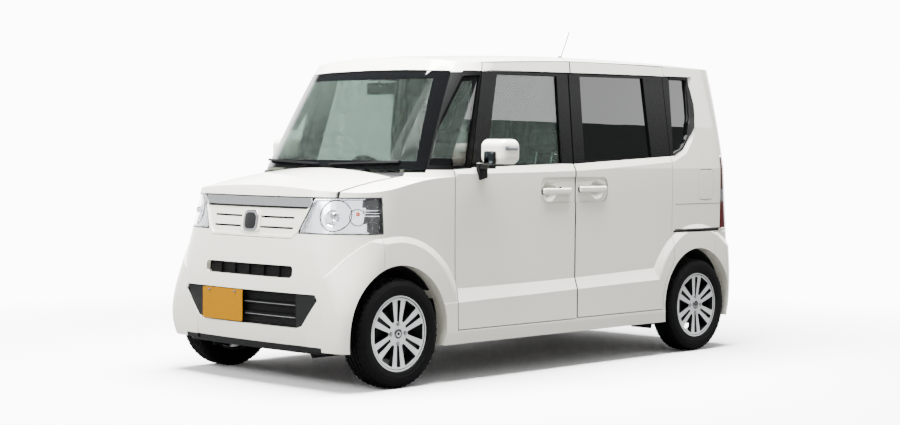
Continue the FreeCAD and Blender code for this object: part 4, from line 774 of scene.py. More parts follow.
@dataclass
class Dressing:
    """Gives each face of the CAD nodes its finish, by place and by the way it looks."""

    nodes: Nodes
    subparts: list[dict[str, str]]
    recess: tuple[Point, ...] = (
        (-1.18, 1.109), (0.1, 1.138), (1.01, 1.183), (1.12, 1.224), (1.19, 1.3), (1.222, 1.42),
        (1.212, 1.662), (0.14, 1.648), (-0.82, 1.632), (-1.4, 1.6))
    nose: tuple[Point, ...] = ((0.6, 0.007), (0.85, 0.034), (1.11, 0.096))
    nose_bow: float = 3.3
    sash_x: float = 0.59
    door_edge_x: float = 0.722
    arch_height: float = 0.292
    arch_radius: float = 0.345
    headlining_z: float = 1.5
    grille_slot_depth: float = 0.014
    grille_trim_z: float = 0.917
    lamp_side_y: float = -1.462
    clear_band_z: Point = (0.90, 0.98)
    mirror_foot_z: float = 1.138
    carpet_z: float = 0.28
    corner_pane_y: float = -0.5
    net_half: float = 0.372
    spoke_face: float = 0.0525
    hub_radius: float = 0.03
    disc_face: float = 0.018
    disc_radius: float = 0.118

    def sash(self, place: Vector, normal: Vector) -> bool:
        """The black film inside the windows' recess."""
        outer = abs(place.x) > self.sash_x and not self.inward(place, normal)
        return outer and inside((place.y, place.z), self.recess)

    def inward(self, place: Vector, normal: Vector) -> bool:
        """The trimmed inside of a side panel."""
        return normal.x * side_of(place) < -0.25

    def rules(self) -> dict[str, list[tuple[Test, Finish]]]:
        """The finishes that differ from a node's own slot, in the order they are tried."""
        # Door faces standing across the shut gaps take the black seal finish: painted shade that darkens the shut
        # lines.
        edge: Test = lambda place, normal: abs(normal.x) < 0.3 and abs(place.x) < self.door_edge_x
        arch: Test = lambda place, normal: abs(normal.x) < 0.5 and self.arch_radius > min(
            math.hypot(place.y - axle, place.z - self.arch_height) for axle in (FRONT_AXLE, REAR_AXLE))
        door = [(self.sash, SASH), (self.inward, TRIM), (arch, PEARL), (edge, SEAL_AND_GAP_SHADE)]
        frame = [(self.sash, SASH), (self.inward, TRIM)]
        under: Test = lambda place, normal: normal.z < -0.3 and place.z > self.headlining_z
        forward: Test = lambda place, normal: normal.y < -0.3
        slots: Test = lambda place, normal: self.nose_depth(place) > self.grille_slot_depth
        trim_bar: Test = lambda place, normal: place.z > self.grille_trim_z and normal.y < -0.5
        lamp_side: Test = lambda place, normal: place.y > self.lamp_side_y
        clear_band: Test = lambda place, normal: self.clear_band_z[0] < place.z < self.clear_band_z[1]
        foot: Test = lambda place, normal: place.z < self.mirror_foot_z
        floor: Test = lambda place, normal: normal.z > 0.3 or place.z > self.carpet_z
        corner_pane: Test = lambda place, normal: place.y < self.corner_pane_y
        net: Test = lambda place, normal: normal.y < -0.5 and abs(place.x) < self.net_half
        always: Test = lambda place, normal: True
        rules = {
            "front_pillars": [(always, PILLAR)],
            "roof_panel": [(under, HEADLINING)],
            "tailgate": [(forward, TRIM)],
            "floor_pan": [(floor, CARPET)],
            "wheel_houses": [(always, LINER)],
            "grille": [(slots, GLOSS_AND_RIM_SHADOW), (trim_bar, CHROME)],
            "headlamps": [(lamp_side, GLOSS_AND_RIM_SHADOW)],
            "tail_lamps": [(clear_band, CLEAR_LENS)],
            "exhaust": [(always, STAINLESS)],
            "windscreen": [(always, SCREEN_GLASS)],
            "wipers": [(always, ARM)],
            "fixed_side_glass": [(corner_pane, CORNER_GLASS)],
            "steering_wheel": [(always, LEATHER)],
            "bumper_grilles": [(net, NET_AND_HOLLOW_SHADE)],
        }
        for _, word in SIDES:
            rules |= {f"front_door_{word}": door, f"sliding_door_{word}": door, f"side_frame_{word}": frame,
                      f"mirror_{word}": [(foot, PLASTIC)]}
        for name, centre in WHEELS.items():
            rules[f"rim_{name}"] = self.wheel_rules(centre)
        return rules

    def nose_depth(self, place: Vector) -> float:
        """How far a point of the nose lies behind its outer form."""
        low, high = self.nose[:2] if place.z < self.nose[1][0] else self.nose[1:]
        share = (place.z - low[0]) / (high[0] - low[0])
        lean = low[1] + share * (high[1] - low[1])
        return place.y + HALF_LENGTH - lean - place.x ** 2 / (2 * self.nose_bow)

    def wheel_rules(self, centre: Vector) -> list[tuple[Test, Finish]]:
        """The finishes of one wheel: its turned front face and the brake seen behind the spokes."""
        side = side_of(centre)

        def spot(place: Vector) -> Point:
            return (place.x - centre.x) * side, math.hypot(place.y - centre.y, place.z - centre.z)

        def turned_face(place: Vector, normal: Vector) -> bool:
            out, radius = spot(place)
            return normal.x * side > 0.6 and out > self.spoke_face and radius > self.hub_radius

        def brake(place: Vector, normal: Vector) -> bool:
            out, radius = spot(place)
            return 0 < out < self.disc_face and radius < self.disc_radius

        return [(turned_face, TURNED), (brake, IRON)]

    def dress(self) -> None:
        """Set every CAD node's materials."""
        rules = self.rules()
        for part in self.subparts:
            mesh = self.nodes[part["node"]].data
            own = SLOTS[part["material_slot"]]
            if part["node"] == "grille":
                own = PEARL
            tried = rules.get(part["node"], [])
            palette = [own] + [finish for _, finish in tried]
            mesh.materials.clear()
            for finish in palette:
                mesh.materials.append(finish.material())
            for polygon in mesh.polygons:
                polygon.material_index = next((number for number, (test, _) in enumerate(tried, start=1)
                                               if test(polygon.center, polygon.normal)), 0)
        log.info("dressed %d CAD nodes", len(self.subparts))


WHEELS = {
    f"{end}_{word}": Vector((side * WHEEL_X, axle, HUB_HEIGHT))
    for end, axle in (("front", FRONT_AXLE), ("rear", REAR_AXLE)) for side, word in SIDES
}


# --- Wheels -------------------------------------------------------------------------------------


@dataclass
class Wheel:
    """A grooved tyre, its nuts, cap and valve, and the brake's caliper."""

    corner: str
    centre: Vector
    steps: int = 216
    groove_every: int = 4
    half_profile: tuple[Point, ...] = (
        (0.0, 0.2785), (0.010, 0.2785), (0.0115, 0.2715), (0.0175, 0.2715), (0.019, 0.2784), (0.034, 0.2780),
        (0.0355, 0.2712), (0.0405, 0.2712), (0.042, 0.2775), (0.0535, 0.2762), (0.0605, 0.2735),
        (0.0665, 0.2685), (0.0705, 0.2620), (0.0735, 0.2540), (0.0752, 0.2480), (0.0762, 0.2474),
        (0.0770, 0.2350), (0.0764, 0.2200), (0.0752, 0.2190), (0.0735, 0.2080), (0.0722, 0.2010),
        (0.0715, 0.1985), (0.0695, 0.1965), (0.0640, 0.1948), (0.0600, 0.1925), (0.0596, 0.1840))
    shoulder: Point = (0.0425, 0.0655)
    shoulder_radius: float = 0.265
    rib: Point = (0.019, 0.0345)
    rib_radius: float = 0.277
    slot_wall: float = 0.0012
    slot_depth: float = 0.002
    nut_circle: float = 0.050
    nut_seat: float = 0.0465
    valve_degrees: float = 60
    caliper_degrees: float = 205

    @property
    def side(self) -> int:
        """+1 on the left, -1 on the right."""
        return int(side_of(self.centre))

    def place(self, degrees: float = 0.0) -> Matrix:
        """From a left wheel about the origin to this one, turned about its axle."""
        turned = Matrix.Rotation(math.radians(degrees), 4, "X")
        return Matrix.Translation(self.centre) @ Matrix.Diagonal((self.side, 1, 1, 1)) @ turned

    def tyre(self) -> None:
        """The tyre, with circling grooves and cross slots in its shoulders."""
        profile = [(-a, r) for a, r in reversed(self.half_profile[1:])] + list(self.half_profile)
        shape = Shape().turned(profile, self.steps)
        step = FULL_TURN / self.steps
        slots = []
        for face in shape.bm.faces:
            middle = face.calc_center_median()
            radius = math.hypot(middle.y, middle.z)
            turn = round(math.atan2(middle.z, middle.y) / step - 0.5)
            shoulder = self.shoulder[0] < abs(middle.x) < self.shoulder[1] and radius > self.shoulder_radius
            rib = self.rib[0] < abs(middle.x) < self.rib[1] and radius > self.rib_radius
            if (shoulder and turn % self.groove_every == 0) or (rib and turn % self.groove_every == 2):
                slots.append(face)
        bmesh.ops.inset_individual(shape.bm, faces=slots, thickness=self.slot_wall, depth=-self.slot_depth)
        bmesh.ops.transform(shape.bm, matrix=self.place(), verts=shape.bm.verts)
        made = shape.piece(f"tread_tyre_{self.corner}", TYRE, f"wheel_{self.corner}", "tyre", 28)
        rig.replaces(made, f"tyre_{self.corner}")

    def fittings(self) -> None:
        """Nuts, the cap's ring and the valve."""
        nuts = Shape()
        for degrees in (0, 90, 180, 270):
            at = self.place(degrees) @ Matrix.Translation((self.nut_seat, 0, self.nut_circle))
            nuts.turned(((0, 0), (0, 0.0102), (0.0135, 0.0096), (0.0155, 0.0078), (0.0165, 0)), 6, at)
            nuts.turned(((0, 0.0098), (0.0012, 0.0113), (0.0026, 0.0098)), 20, at)
        nuts.piece(f"wheel_nuts_{self.corner}", ZINC, f"wheel_{self.corner}", "aluminium", 25)
        dome = ((0.0625, 0), (0.0632, 0.012), (0.0628, 0.022), (0.0612, 0.0255), (0.058, 0.0262))
        cap = Shape().turned(dome, 40, self.place())
        cap.piece(f"hub_cap_{self.corner}", CHROME, f"wheel_{self.corner}", "chrome")
        at = self.place(self.valve_degrees)
        valve = Shape().rod(at @ Vector((0.050, 0, 0.1705)), at @ Vector((0.0625, 0, 0.1665)), 0.0042, 0.0036)
        valve.piece(f"valve_{self.corner}", SEAL_AND_GAP_SHADE, f"wheel_{self.corner}", "tyre")

    def caliper(self) -> None:
        """A floating caliper behind the front wheel's spokes."""
        shape = Shape()
        for low, high, bevel in (((0.0195, -0.048, 0.070), (0.030, 0.048, 0.124), 0.007),
                                 ((-0.032, -0.050, 0.122), (0.030, 0.050, 0.134), 0.005),
                                 ((-0.040, -0.044, 0.066), (-0.009, 0.044, 0.124), 0.008)):
            shape.block(low, high, bevel, 3, self.place(self.caliper_degrees))
        shape.piece(f"caliper_{self.corner}", IRON, self.corner.replace("front", "knuckle"), "cast")

    def build(self) -> None:
        """Make every piece of this wheel."""
        self.tyre()
        self.fittings()
        if "front" in self.corner:
            self.caliper()


# --- Nose ---------------------------------------------------------------------------------------


@dataclass
class Nose:
    """Bare badge, lamp fittings with painted shadow rings at the reflector bowls' rims, and the intakes' small parts.
    """

    nodes: Nodes
    badge_half: Point = (0.058, 0.056)
    badge_middle: float = 0.837
    bulb: Place = (0.672, -1.522, 0.884)
    bulb_axis: Place = (0.80, -0.60, 0.0)
    bulb_behind_lens: float = 0.036
    shade_at: Place = (0.545, -1.578, 0.876)
    shade_axis: Place = (0.25, -0.97, 0.0)
    # Each reflector bowl's centre, axis and radius, and the thickness of its ring of painted shadow.
    bowls: tuple[tuple[Place, Place, float, float], ...] = (
        ((0.558, -1.625, 0.876), (-0.25, 0.97, 0.0), 0.0775, 0.0028),
        ((0.668, -1.520, 0.868), (-0.80, 0.60, 0.0), 0.0410, 0.0022))
    bar_heights: tuple[float, ...] = (0.902, 0.888, 0.874)
    bar_line: tuple[float, ...] = (-1.470, -1.440, -1.410, -1.392)
    intake_bar_heights: tuple[float, ...] = (0.421, 0.358)
    intake_bar_line: tuple[float, ...] = (-0.02, 0.06, 0.14, 0.22, 0.30, 0.366)
    plate_screw_x: Point = (-0.2945, -0.0845)
    plate_face: Point = (-1.6975, 0.465)
    ring_steps: int = 56
    lens_grid_mm: tuple[range, range] = (range(368, 700, 8), range(780, 1000, 2))
    lens_depth_limit: float = -1.2

    @cached_property
    def housing(self) -> Skin:
        """The headlamps' housings."""
        return Skin(self.nodes, "headlamps")

    @cached_property
    def lens(self) -> Skin:
        """The headlamps' lenses."""
        return Skin(self.nodes, "headlamp_lenses")

    def badge(self) -> None:
        """A plain rounded badge place: a chromed rim about a bare dark field."""
        grille = Skin(self.nodes, "grille")
        for name, grow, stand, finish, slot in (("badge_rim", 1.0, 0.0, CHROME, "chrome"),
                                                ("badge_field", 0.76, 0.0016, GLOSS_AND_RIM_SHADOW, "black_plastic")):
            half = (self.badge_half[0] * grow, self.badge_half[1] * grow)
            shape = Shape().plaque(half, 0.010, 0.0032, Matrix.Translation((0, -stand, self.badge_middle)))
            for vert in shape.bm.verts:
                vert.co.y += grille.front(vert.co.x, vert.co.z).y
            shape.piece(name, finish, "body", slot)

    def gasket(self) -> Shape:
        """The thin dark line round the left lens."""
        inward = Vector((0, 0.0012, 0))
        upper: list[Vector] = []
        lower: list[Vector] = []
        for across in self.lens_grid_mm[0]:
            column = []
            for height in self.lens_grid_mm[1]:
                try:
                    column.append(self.lens.hit((across / 1000, -3, height / 1000), (0, 1, 0))[0])
                except ValueError:
                    continue
            if column and column[0].y < self.lens_depth_limit:
                lower.append(column[0] + inward)
                upper.append(column[-1] + inward)
        shape = Shape()
        for line in (lower, upper, [lower[0], upper[0]]):
            shape.chain(line, 0.0022, segments=8, reach=0.06)
        return shape

    def rims(self) -> Shape:
        """Dark rings of painted shadow along the rims of the left lamp's reflector bowls."""
        shape = Shape()
        for centre, axis, radius, thick in self.bowls:
            aim = Vector(axis).normalized()
            turn = aim.to_track_quat("Z", "Y")
            ring = []
            for number in range(self.ring_steps):
                angle = FULL_TURN * number / self.ring_steps
                spoke = Vector((radius * math.cos(angle), radius * math.sin(angle), 0))
                start = Vector(centre) + turn @ spoke
                ring.append(self.housing.hit(start - aim * 0.16, aim)[0] - aim * 0.002)
            shape.chain(ring + ring[:1], thick, segments=10, reach=radius * 0.4)
        return shape

    def turn_bulb(self) -> Shape:
        """The amber bulb behind the left lens."""
        aim = Vector(self.bulb_axis).to_track_quat("X", "Z").to_matrix().to_4x4()
        outward = aim @ Vector((1, 0, 0))
        front, _ = self.lens.hit(Vector(self.bulb) + outward * 0.3, -outward)
        profile = ((-0.016, 0), (-0.016, 0.013), (0.010, 0.013), (0.018, 0.010), (0.022, 0.005), (0.023, 0))
        return Shape().turned(profile, 28, Matrix.Translation(front - outward * self.bulb_behind_lens) @ aim)

    def shade(self) -> Shape:
        """The bright shade of the left lamp's main bulb."""
        aim = Vector(self.shade_axis).to_track_quat("X", "Z").to_matrix().to_4x4()
        profile = ((-0.03, 0), (-0.03, 0.017), (0.004, 0.0165), (0.010, 0.012), (0.012, 0))
        return Shape().turned(profile, 28, Matrix.Translation(self.shade_at) @ aim)

    def bars(self) -> Shape:
        """The level bars at the left lamp's outer end."""
        shape = Shape()
        for height in self.bar_heights:
            line = [self.housing.left(y, height) + Vector((0.002, 0, 0)) for y in self.bar_line]
            shape.chain(line, 0.0034, segments=10)
        return shape

    def lamps(self) -> None:
        """Each headlamp's gasket, painted shadow rings at the bowls' rims, bulbs and bars."""
        for side, word in SIDES:
            # The rims' dark rings are painted shadow at the reflector bowls' mouths, in polished black.
            for make, name, finish, slot in ((self.gasket, "lens_gasket", SEAL_AND_GAP_SHADE, "black_plastic"),
                                             (self.rims, "lamp_rim_shadows", GLOSS_AND_RIM_SHADOW, "black_plastic"),
                                             (self.turn_bulb, "turn_bulb", AMBER, "lamp_clear"),
                                             (self.shade, "bulb_shade", CHROME, "chrome"),
                                             (self.bars, "lamp_bars", CHROME, "chrome")):
                make().on_side(side).piece(f"{name}_{word}", finish, "body", slot)

    def intake(self) -> None:
        """Two thin bright bars across the lower intake's net, and the number plate's two screws."""
        net = Skin(self.nodes, "bumper_grilles", "number_plate")
        bars = Shape()
        for height in self.intake_bar_heights:
            line = [net.front(x, height) + Vector((0, -0.0015, 0)) for x in self.intake_bar_line]
            bars.chain(line, 0.0026, segments=10)
        bars.piece("intake_bars", ZINC, "body", "chrome")
        screws = Shape()
        head = ((0.0002, 0), (0.0002, 0.006), (-0.003, 0.0062), (-0.003, 0.0030))
        profile = (*head, (-0.012, 0.0030), (-0.012, 0))
        for x in self.plate_screw_x:
            at = Matrix.Translation((x, *self.plate_face)) @ Matrix.Rotation(math.radians(90), 4, "Z")
            screws.turned(profile, 20, at)
        screws.piece("plate_screws", ZINC, "body", "chrome")

    def build(self) -> None:
        """Make every piece of the nose."""
        self.badge()
        self.lamps()
        self.intake()


# --- Windows, mirrors and wipers ----------------------------------------------------------------


@dataclass
class Trimmings:
    """Mirror glasses and lamps, black channels and key holes."""

    nodes: Nodes
    film_outer: tuple[Point, ...] = (
        (1.020, 1.661), (1.190, 1.661), (1.222, 1.580), (1.242, 1.495), (1.244, 1.420), (1.234, 1.358),
        (1.205, 1.315), (1.159, 1.276), (1.100, 1.221), (1.020, 1.182))
    film_inner: tuple[Point, ...] = (
        (1.024, 1.642), (1.188, 1.643), (1.191, 1.580), (1.193, 1.495), (1.194, 1.420), (1.182, 1.358),
        (1.170, 1.315), (1.148, 1.278), (1.104, 1.230), (1.024, 1.199))
    strip_corners: tuple[Place, ...] = ((-0.004, -0.734, 1.209), (0.0018, -0.646, 1.231))
    square_corners: tuple[Place, ...] = ((0.802, -0.764, 1.132), (0.880, -0.742, 1.206))
    pane_corners: tuple[Place, ...] = ((0.809, -0.7655, 1.139), (0.873, -0.7635, 1.199))
    quarter_front: float = 1.022
    quarter_rear: float = 1.478
    key_at: Point = (-0.055, 1.003)

    def mirrors(self) -> None:
        """Each door mirror's silvered glass, its lamp strip and the small square mirror before it."""
        skin = Skin(self.nodes, "mirror_left")
        _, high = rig.box("mirror_left")
        for side, word in SIDES:
            glass = Shape().block((high[0] - 0.160, high[1] - 0.006, high[2] - 0.112),
                                  (high[0] - 0.016, high[1] - 0.001, high[2] - 0.016), 0.0022)
            strip = Shape().block(*self.strip_corners, 0.0017, 2)
            long = [edge for edge in strip.bm.edges if abs(edge.verts[0].co.y - edge.verts[1].co.y) > 0.05]
            bmesh.ops.subdivide_edges(strip.bm, edges=long, cuts=14, use_grid_fill=True)
            for vert in strip.bm.verts:
                vert.co.x += skin.left(vert.co.y, vert.co.z).x
            square = Shape().block(*self.square_corners, 0.010, 4)
            pane = Shape().block(*self.pane_corners, 0.0009, 2)
            for shape, name, finish, slot in ((glass, "mirror_glass", MIRROR, "chrome"),
                                              (strip, "mirror_lamp", CLEAR_LENS, "lamp_clear"),
                                              (square, "square_mirror_case", GLOSS_AND_RIM_SHADOW, "black_plastic"),
                                              (pane, "square_mirror_glass", SMOKED, "chrome")):
                shape.on_side(side).piece(f"{name}_{word}", finish, f"front_door_{word}", slot)

    def film_rows(self) -> list[list[Point]]:
        """Lines of points from the quarter window's edge out to the black film's edge."""
        def along(outline: Sequence[Point], share: float) -> Vector:
            place = share * (len(outline) - 1)
            first = min(int(place), len(outline) - 2)
            return Vector(outline[first]).lerp(Vector(outline[first + 1]), place - first)

        steps = [number / 54 for number in range(55)]
        return [[tuple(along(self.film_inner, share).lerp(along(self.film_outer, share), way))
                 for share in steps] for way in (0, 0.2, 0.4, 0.6, 0.8, 1)]

    def strips(self) -> None:
        """The black channel over each rear bumper, a thin black line of painted shade along the quarter panel's seam,
        the quarter panel's film, the key hole.
        """
        quarter = Skin(self.nodes, "side_frame_left", "tail_lamps", "rear_bumper", "sliding_door_left",
                       "fixed_side_glass", "roof_panel")
        key = Skin(self.nodes, "front_door_left").left(*self.key_at)
        key_ends = key + Vector((-0.004, 0, 0)), key + Vector((0.0012, 0, 0))
        for side, word in SIDES:
            channel = Shape().band(quarter, (self.quarter_front, 0.735), self.quarter_rear, 0.020, 0.0014)
            # The seam is drawn as a thin black line: painted shade of the gap between the panels.
            seam = Shape().band(quarter, (self.quarter_front, 0.894), self.quarter_rear, 0.0030, 0.0004)
            for shape, name, body in (
                    (channel, "bumper_channel", "body"), (seam, "quarter_seam_shade", "body"),
                    (Shape().sheet(quarter, self.film_rows(), 0.0008), "quarter_film", "body"),
                    (Shape().rod(*key_ends, 0.0085, segments=24), "key_hole", f"front_door_{word}")):
                shape.on_side(side).piece(f"{name}_{word}", SEAL_AND_GAP_SHADE, body, "black_plastic")

    def build(self) -> None:
        """Make every trimming."""
        self.mirrors()
        self.strips()


# --- Cabin --------------------------------------------------------------------------------------


@dataclass(frozen=True)
class Pad:
    """A padded cloth piece: a leaning block that swells under its cover."""

    name: str
    size: Place
    centre: Place
    lean_degrees: float
    channels: tuple[float, ...] = ()
    voxel: float = 0.012
    pressure: float = 4.0
    swell: float = 0.022
    shrink: float = 0.014
    inflating_frames: int = 20
    channel_half: float = 0.016
    channel_depth: float = 0.008

    def place(self) -> Matrix:
        """From the pad's own frame to the car's."""
        return Matrix.Translation(self.centre) @ Matrix.Rotation(math.radians(-self.lean_degrees), 4, "X")

    def mesh(self) -> bpy.types.Mesh:
        """The swollen pad about its own middle."""
        half = Vector(self.size) / 2 - Vector((self.shrink,) * 3)
        shape = Shape().block(-half, half, min(half) * 0.45, 3)
        core = bpy.data.meshes.new(f"{self.name}_core")
        shape.bm.to_mesh(core)
        shape.bm.free()
        carrier = put(f"{self.name}_carrier", core)
        remesh = carrier.modifiers.new("even", "REMESH")
        remesh.mode = "VOXEL"
        remesh.voxel_size = self.voxel
        even = bpy.data.meshes.new_from_object(carrier.evaluated_get(bpy.context.evaluated_depsgraph_get()))
        carrier.modifiers.clear()
        carrier.data = even
        rest = [vert.co.copy() for vert in even.vertices]
        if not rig.quick():
            self.inflate(carrier, rest)
        self.sew(even)
        bpy.data.objects.remove(carrier)
        return even

    def inflate(self, carrier: bpy.types.Object, rest: list[Vector]) -> None:
        """Let cloth pressure round the cover, no point moving further than the swell."""
        cloth = carrier.modifiers.new("cover", "CLOTH")
        cloth.settings.use_pressure = True
        cloth.settings.uniform_pressure_force = self.pressure
        cloth.settings.effector_weights.gravity = 0
        scene = bpy.context.scene
        for frame in range(1, self.inflating_frames + 1):
            scene.frame_set(frame)
        blown = carrier.evaluated_get(bpy.context.evaluated_depsgraph_get()).to_mesh()
        for vert, start, end in zip(carrier.data.vertices, rest, [v.co.copy() for v in blown.vertices]):
            move = end - start
            vert.co = start + move * min(1.0, self.swell / max(move.length, 1e-9))
        carrier.modifiers.clear()
        scene.frame_set(1)

    def sew(self, even: bpy.types.Mesh) -> None:
        """Draw the cover in along its sewn channels."""
        for vert in even.vertices:
            for channel in self.channels:
                near = max(0.0, 1 - abs(abs(vert.co.x) - channel) / self.channel_half)
                vert.co -= vert.normal * self.channel_depth * near

    def build(self, replaced: str) -> None:
        """Make a pad on both sides of the car.

        Args:
            replaced: The CAD node that the pads stand for.
        """
        master = self.mesh()
        for side, word in SIDES:
            mesh = master.copy()
            mesh.transform(Matrix.Translation((self.centre[0] * side - self.centre[0], 0, 0)) @ self.place())
            mesh.shade_smooth()
            mesh.materials.clear()
            mesh.materials.append(CLOTH.material())
            made = put(f"{self.name}_{word}", mesh)
            smooth = made.modifiers.new("rounded", "SUBSURF")
            smooth.levels = smooth.render_levels = 1
            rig.ride(made, "body")
            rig.slot(made, "seat_fabric")
            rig.replaces(made, replaced)
            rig.padded(made, 0.75)
        log.info("padded %s", self.name)


@dataclass
class Cabin:
    """Seats, dashboard fittings and the inside mirror's glass."""

    front_pads: tuple[Pad, ...] = (
        Pad("front_cushion", (0.50, 0.49, 0.15), (0.32, -0.045, 0.485), 0, (0.14,)),
        Pad("front_back", (0.50, 0.115, 0.63), (0.32, 0.185, 0.825), 12, (0.13,)),
        Pad("front_headrest", (0.25, 0.085, 0.155), (0.32, 0.288, 1.262), 12),
    )
    rear_pads: tuple[Pad, ...] = (
        Pad("rear_cushion", (0.45, 0.45, 0.12), (0.2525, 0.785, 0.572), 0, (0.12,)),
        Pad("rear_back", (0.45, 0.105, 0.55), (0.2525, 0.995, 0.855), 12, (0.12,)),
        Pad("rear_headrest", (0.25, 0.085, 0.155), (0.2525, 1.098, 1.262), 12),
    )

    def bases(self) -> None:
        """The seats' plinths and the headrests' posts."""
        for name, node, spacing, front, rear, foot, top, back in (
                ("front_plinth", "front_seats", 0.32, -0.23, 0.17, 0.256, 0.43, 0.27),
                ("rear_plinth", "rear_seats", 0.2525, 0.78, 0.98, 0.511, 0.535, 1.08)):
            shape = Shape()
            posts = Shape()
            for middle in (spacing, -spacing):
                shape.block((middle - 0.19, front, foot), (middle + 0.19, rear, top), 0.012)
                for x in (middle - 0.06, middle + 0.06):
                    posts.rod((x, back - 0.008, 1.12), (x, back + 0.006, 1.20), 0.006)
            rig.replaces(shape.piece(name, DARK_TRIM, "body", "dark_trim"), node)
            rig.replaces(posts.piece(f"{name}_posts", CHROME, "body", "chrome"), node)

    def dashboard(self) -> None:
        """Instrument hood, centre screen, shift lever and the inside mirror's glass."""
        hood = Shape().block((-0.47, -0.80, 1.035), (-0.17, -0.675, 1.095), 0.022, 4)
        hood.piece("instrument_hood", DARK_TRIM, "body", "dark_trim")
        screen = Shape().block((-0.105, -0.632, 0.905), (0.105, -0.605, 1.02), 0.006)
        screen.piece("centre_screen", GLOSS_AND_RIM_SHADOW, "body", "black_plastic")
        lever = Shape().rod((0.0, -0.605, 0.80), (0.0, -0.545, 0.845), 0.008)
        lever.block((-0.022, -0.568, 0.828), (0.022, -0.528, 0.872), 0.014, 4)
        lever.piece("shift_lever", GLOSS_AND_RIM_SHADOW, "body", "black_plastic")
        glass = Shape().block((-0.108, -0.7135, 1.5175), (0.108, -0.7105, 1.5745), 0.0012)
        glass.piece("inside_mirror_glass", MIRROR, "body", "chrome")

    def build(self) -> None:
        """Make every piece inside the car."""
        for pad in self.front_pads:
            pad.build("front_seats")
        for pad in self.rear_pads:
            pad.build("rear_seats")
        self.bases()
        self.dashboard()


# --- Tail ---------------------------------------------------------------------------------------


@dataclass
class Tail:
    """The tailgate's lamp and wiper, and the bumper's reflectors."""

    nodes: Nodes
    stop_lamp_height: float = 1.66
    pivot_height: float = 1.172
    wiper_arm: tuple[Point, ...] = ((0.0, 1.172), (-0.11, 1.196), (-0.22, 1.222))
    wiper_blade: tuple[Point, ...] = ((-0.03, 1.236), (-0.14, 1.222), (-0.25, 1.212), (-0.37, 1.206))
    reflector: Point = (0.56, 0.36)

    def build(self) -> None:
        """Set the small parts on the tailgate and bumper."""
        gate = Skin(self.nodes, "tailgate", "tailgate_glass")
        top = gate.rear(0, self.stop_lamp_height)[0].y
        lamp = Shape().block((-0.15, top - 0.006, 1.648), (0.15, top + 0.004, 1.668), 0.003)
        lamp.piece("high_stop_lamp", RED_LENS, "tailgate", "lamp_red")
        foot = gate.rear(0, self.pivot_height)[0].y
        pivot = Shape().rod((0, foot - 0.004, self.pivot_height), (0, foot + 0.022, self.pivot_height),
                            0.017, 0.013, 24)
        pivot.piece("rear_wiper_pivot", GLOSS_AND_RIM_SHADOW, "tailgate", "black_plastic")
        wiper = Shape()
        for line, rise, radii in ((self.wiper_arm, 0.013, (0.0055, 0.0045)),
                                  (self.wiper_blade, 0.006, (0.006, 0.006))):
            met = [gate.rear(x, z) for x, z in line]
            wiper.chain([place + normal * rise for place, normal in met], *radii)
        wiper.piece("rear_wiper", PLASTIC, "tailgate", "black_plastic")
        bumper = Skin(self.nodes, "rear_bumper")
        marks = Shape()
        for side, _ in SIDES:
            place, normal = bumper.rear(side * self.reflector[0], self.reflector[1])
            at = Matrix.Translation(place) @ normal.to_track_quat("X", "Z").to_matrix().to_4x4()
            marks.block((-0.006, -0.035, -0.02), (0.0025, 0.035, 0.02), 0.002, 2, at)
        marks.piece("rear_reflectors", RED_LENS, "body", "lamp_red")


# --- Studio -------------------------------------------------------------------------------------


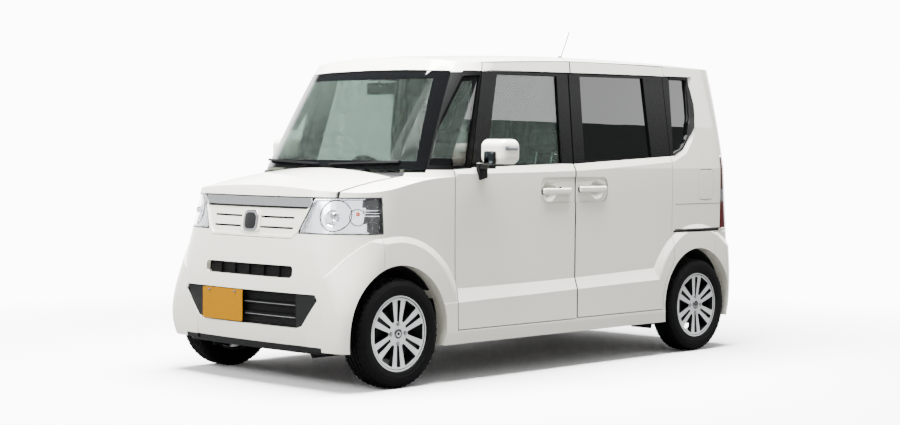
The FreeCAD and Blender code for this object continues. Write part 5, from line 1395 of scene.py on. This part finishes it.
@dataclass
class Studio:
    """Camera, floor and soft lights."""

    eye: Place = (7.0276, -7.4036, 1.2127)
    yaw_pitch_roll: Place = (44.228, 2.076, 0.449)
    lens_mm: float = 69.7
    sky: float = 0.75
    dome: float = 0.18
    front_wall: float = 1.1
    rear_wall: float = 5.0
    backdrop: float = 12.0

    def camera(self) -> None:
        """The viewpoint, at the front left of the car."""
        camera = bpy.data.cameras.new("camera")
        camera.sensor_width = 36
        camera.lens = self.lens_mm
        eye = put("camera", camera)
        yaw, pitch, roll = (math.radians(angle) for angle in self.yaw_pitch_roll)
        turn = (Matrix.Rotation(yaw, 4, "Z") @ Matrix.Rotation(math.radians(90) - pitch, 4, "X")
                @ Matrix.Rotation(roll, 4, "Z"))
        eye.matrix_world = Matrix.Translation(self.eye) @ turn
        bpy.context.scene.camera = eye

    def world(self) -> None:
        """A surround that is white where it is seen, dim on rough surfaces and banded in mirrors."""
        world = bpy.data.worlds.new("studio")
        world.use_nodes = True
        back = world.node_tree.nodes["Background"]
        back.inputs["Color"].default_value = (1, 1, 1, 1)
        way = split(world, add_node(world, "TexCoord").outputs["Generated"])
        ray = add_node(world, "LightPath").outputs
        low_wall = ramp(world, way[1], (self.front_wall, self.rear_wall), (-0.35, 0.35))
        right = ramp(world, way[2], (low_wall, self.dome), (0.30, 0.42))
        glossy = ramp(world, way[0], (self.dome, right), (0.12, -0.12))
        rough_or_glossy = ramp(world, ray["Is Glossy Ray"], (self.sky, glossy))
        through = maths(world, "MAXIMUM", ray["Is Camera Ray"], ray["Is Transmission Ray"])
        strength = ramp(world, through, (rough_or_glossy, self.backdrop))
        world.node_tree.links.new(strength, back.inputs["Strength"])
        bpy.context.scene.world = world

    def light(self, name: str, at: Place, aim: Place, size: Point, watts: float,
              mirrored_only: bool = False) -> None:
        """Hang a softbox.

        Args:
            name: Its name.
            at: Where it hangs.
            aim: The point it faces.
            size: Its width and height.
            watts: Its power.
            mirrored_only: Whether it shows in gloss and nowhere else.
        """
        lamp = bpy.data.lights.new(name, "AREA")
        lamp.shape = "RECTANGLE"
        lamp.size, lamp.size_y = size
        lamp.energy = watts
        made = put(name, lamp)
        made.visible_camera = False
        if mirrored_only:
            made.visible_diffuse = made.visible_transmission = False
        turn = (Vector(aim) - Vector(at)).to_track_quat("-Z", "Y").to_matrix().to_4x4()
        made.matrix_world = Matrix.Translation(at) @ turn

    def floor(self) -> None:
        """A wide pale floor."""
        bm = bmesh.new()
        bmesh.ops.create_grid(bm, x_segments=1, y_segments=1, size=60)
        mesh = bpy.data.meshes.new("floor")
        bm.to_mesh(mesh)
        bm.free()
        made = put("floor", mesh)
        mesh.materials.append(STUDIO_FLOOR.material())
        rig.stage(made)

    def build(self) -> None:
        """Set up the whole studio."""
        self.camera()
        self.world()
        self.light("overhead_softbox", (0, -0.4, 6), (0, -0.4, 0), (3.6, 5.2), 5200)
        self.light("front_softbox", (-1.0, -7, 4.2), (0, -1.6, 0.8), (4, 2.5), 620)
        self.light("side_panel", (9.0, 9.5, 5.17), (0, 9.5, 5.17), (12.0, 4.0), 800, True)
        self.floor()


def main() -> None:
    """Dress the car and set it in the studio."""
    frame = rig.load()
    cad_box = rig.bounds()
    studio = Studio()
    studio.build()
    nodes = frame["nodes"]
    Dressing(nodes, frame["record"]["subparts"]).dress()
    for corner, centre in WHEELS.items():
        Wheel(corner, centre).build()
    Nose(nodes).build()
    Trimmings(nodes).build()
    Tail(nodes).build()
    Cabin().build()
    with open("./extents.json", "w", encoding="utf-8") as sizes:
        json.dump({"cad": [list(corner) for corner in cad_box],
                   "visual": [list(corner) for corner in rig.bounds()]}, sizes)


if __name__ == "__main__":
    logging.basicConfig(level=logging.INFO)
    main()
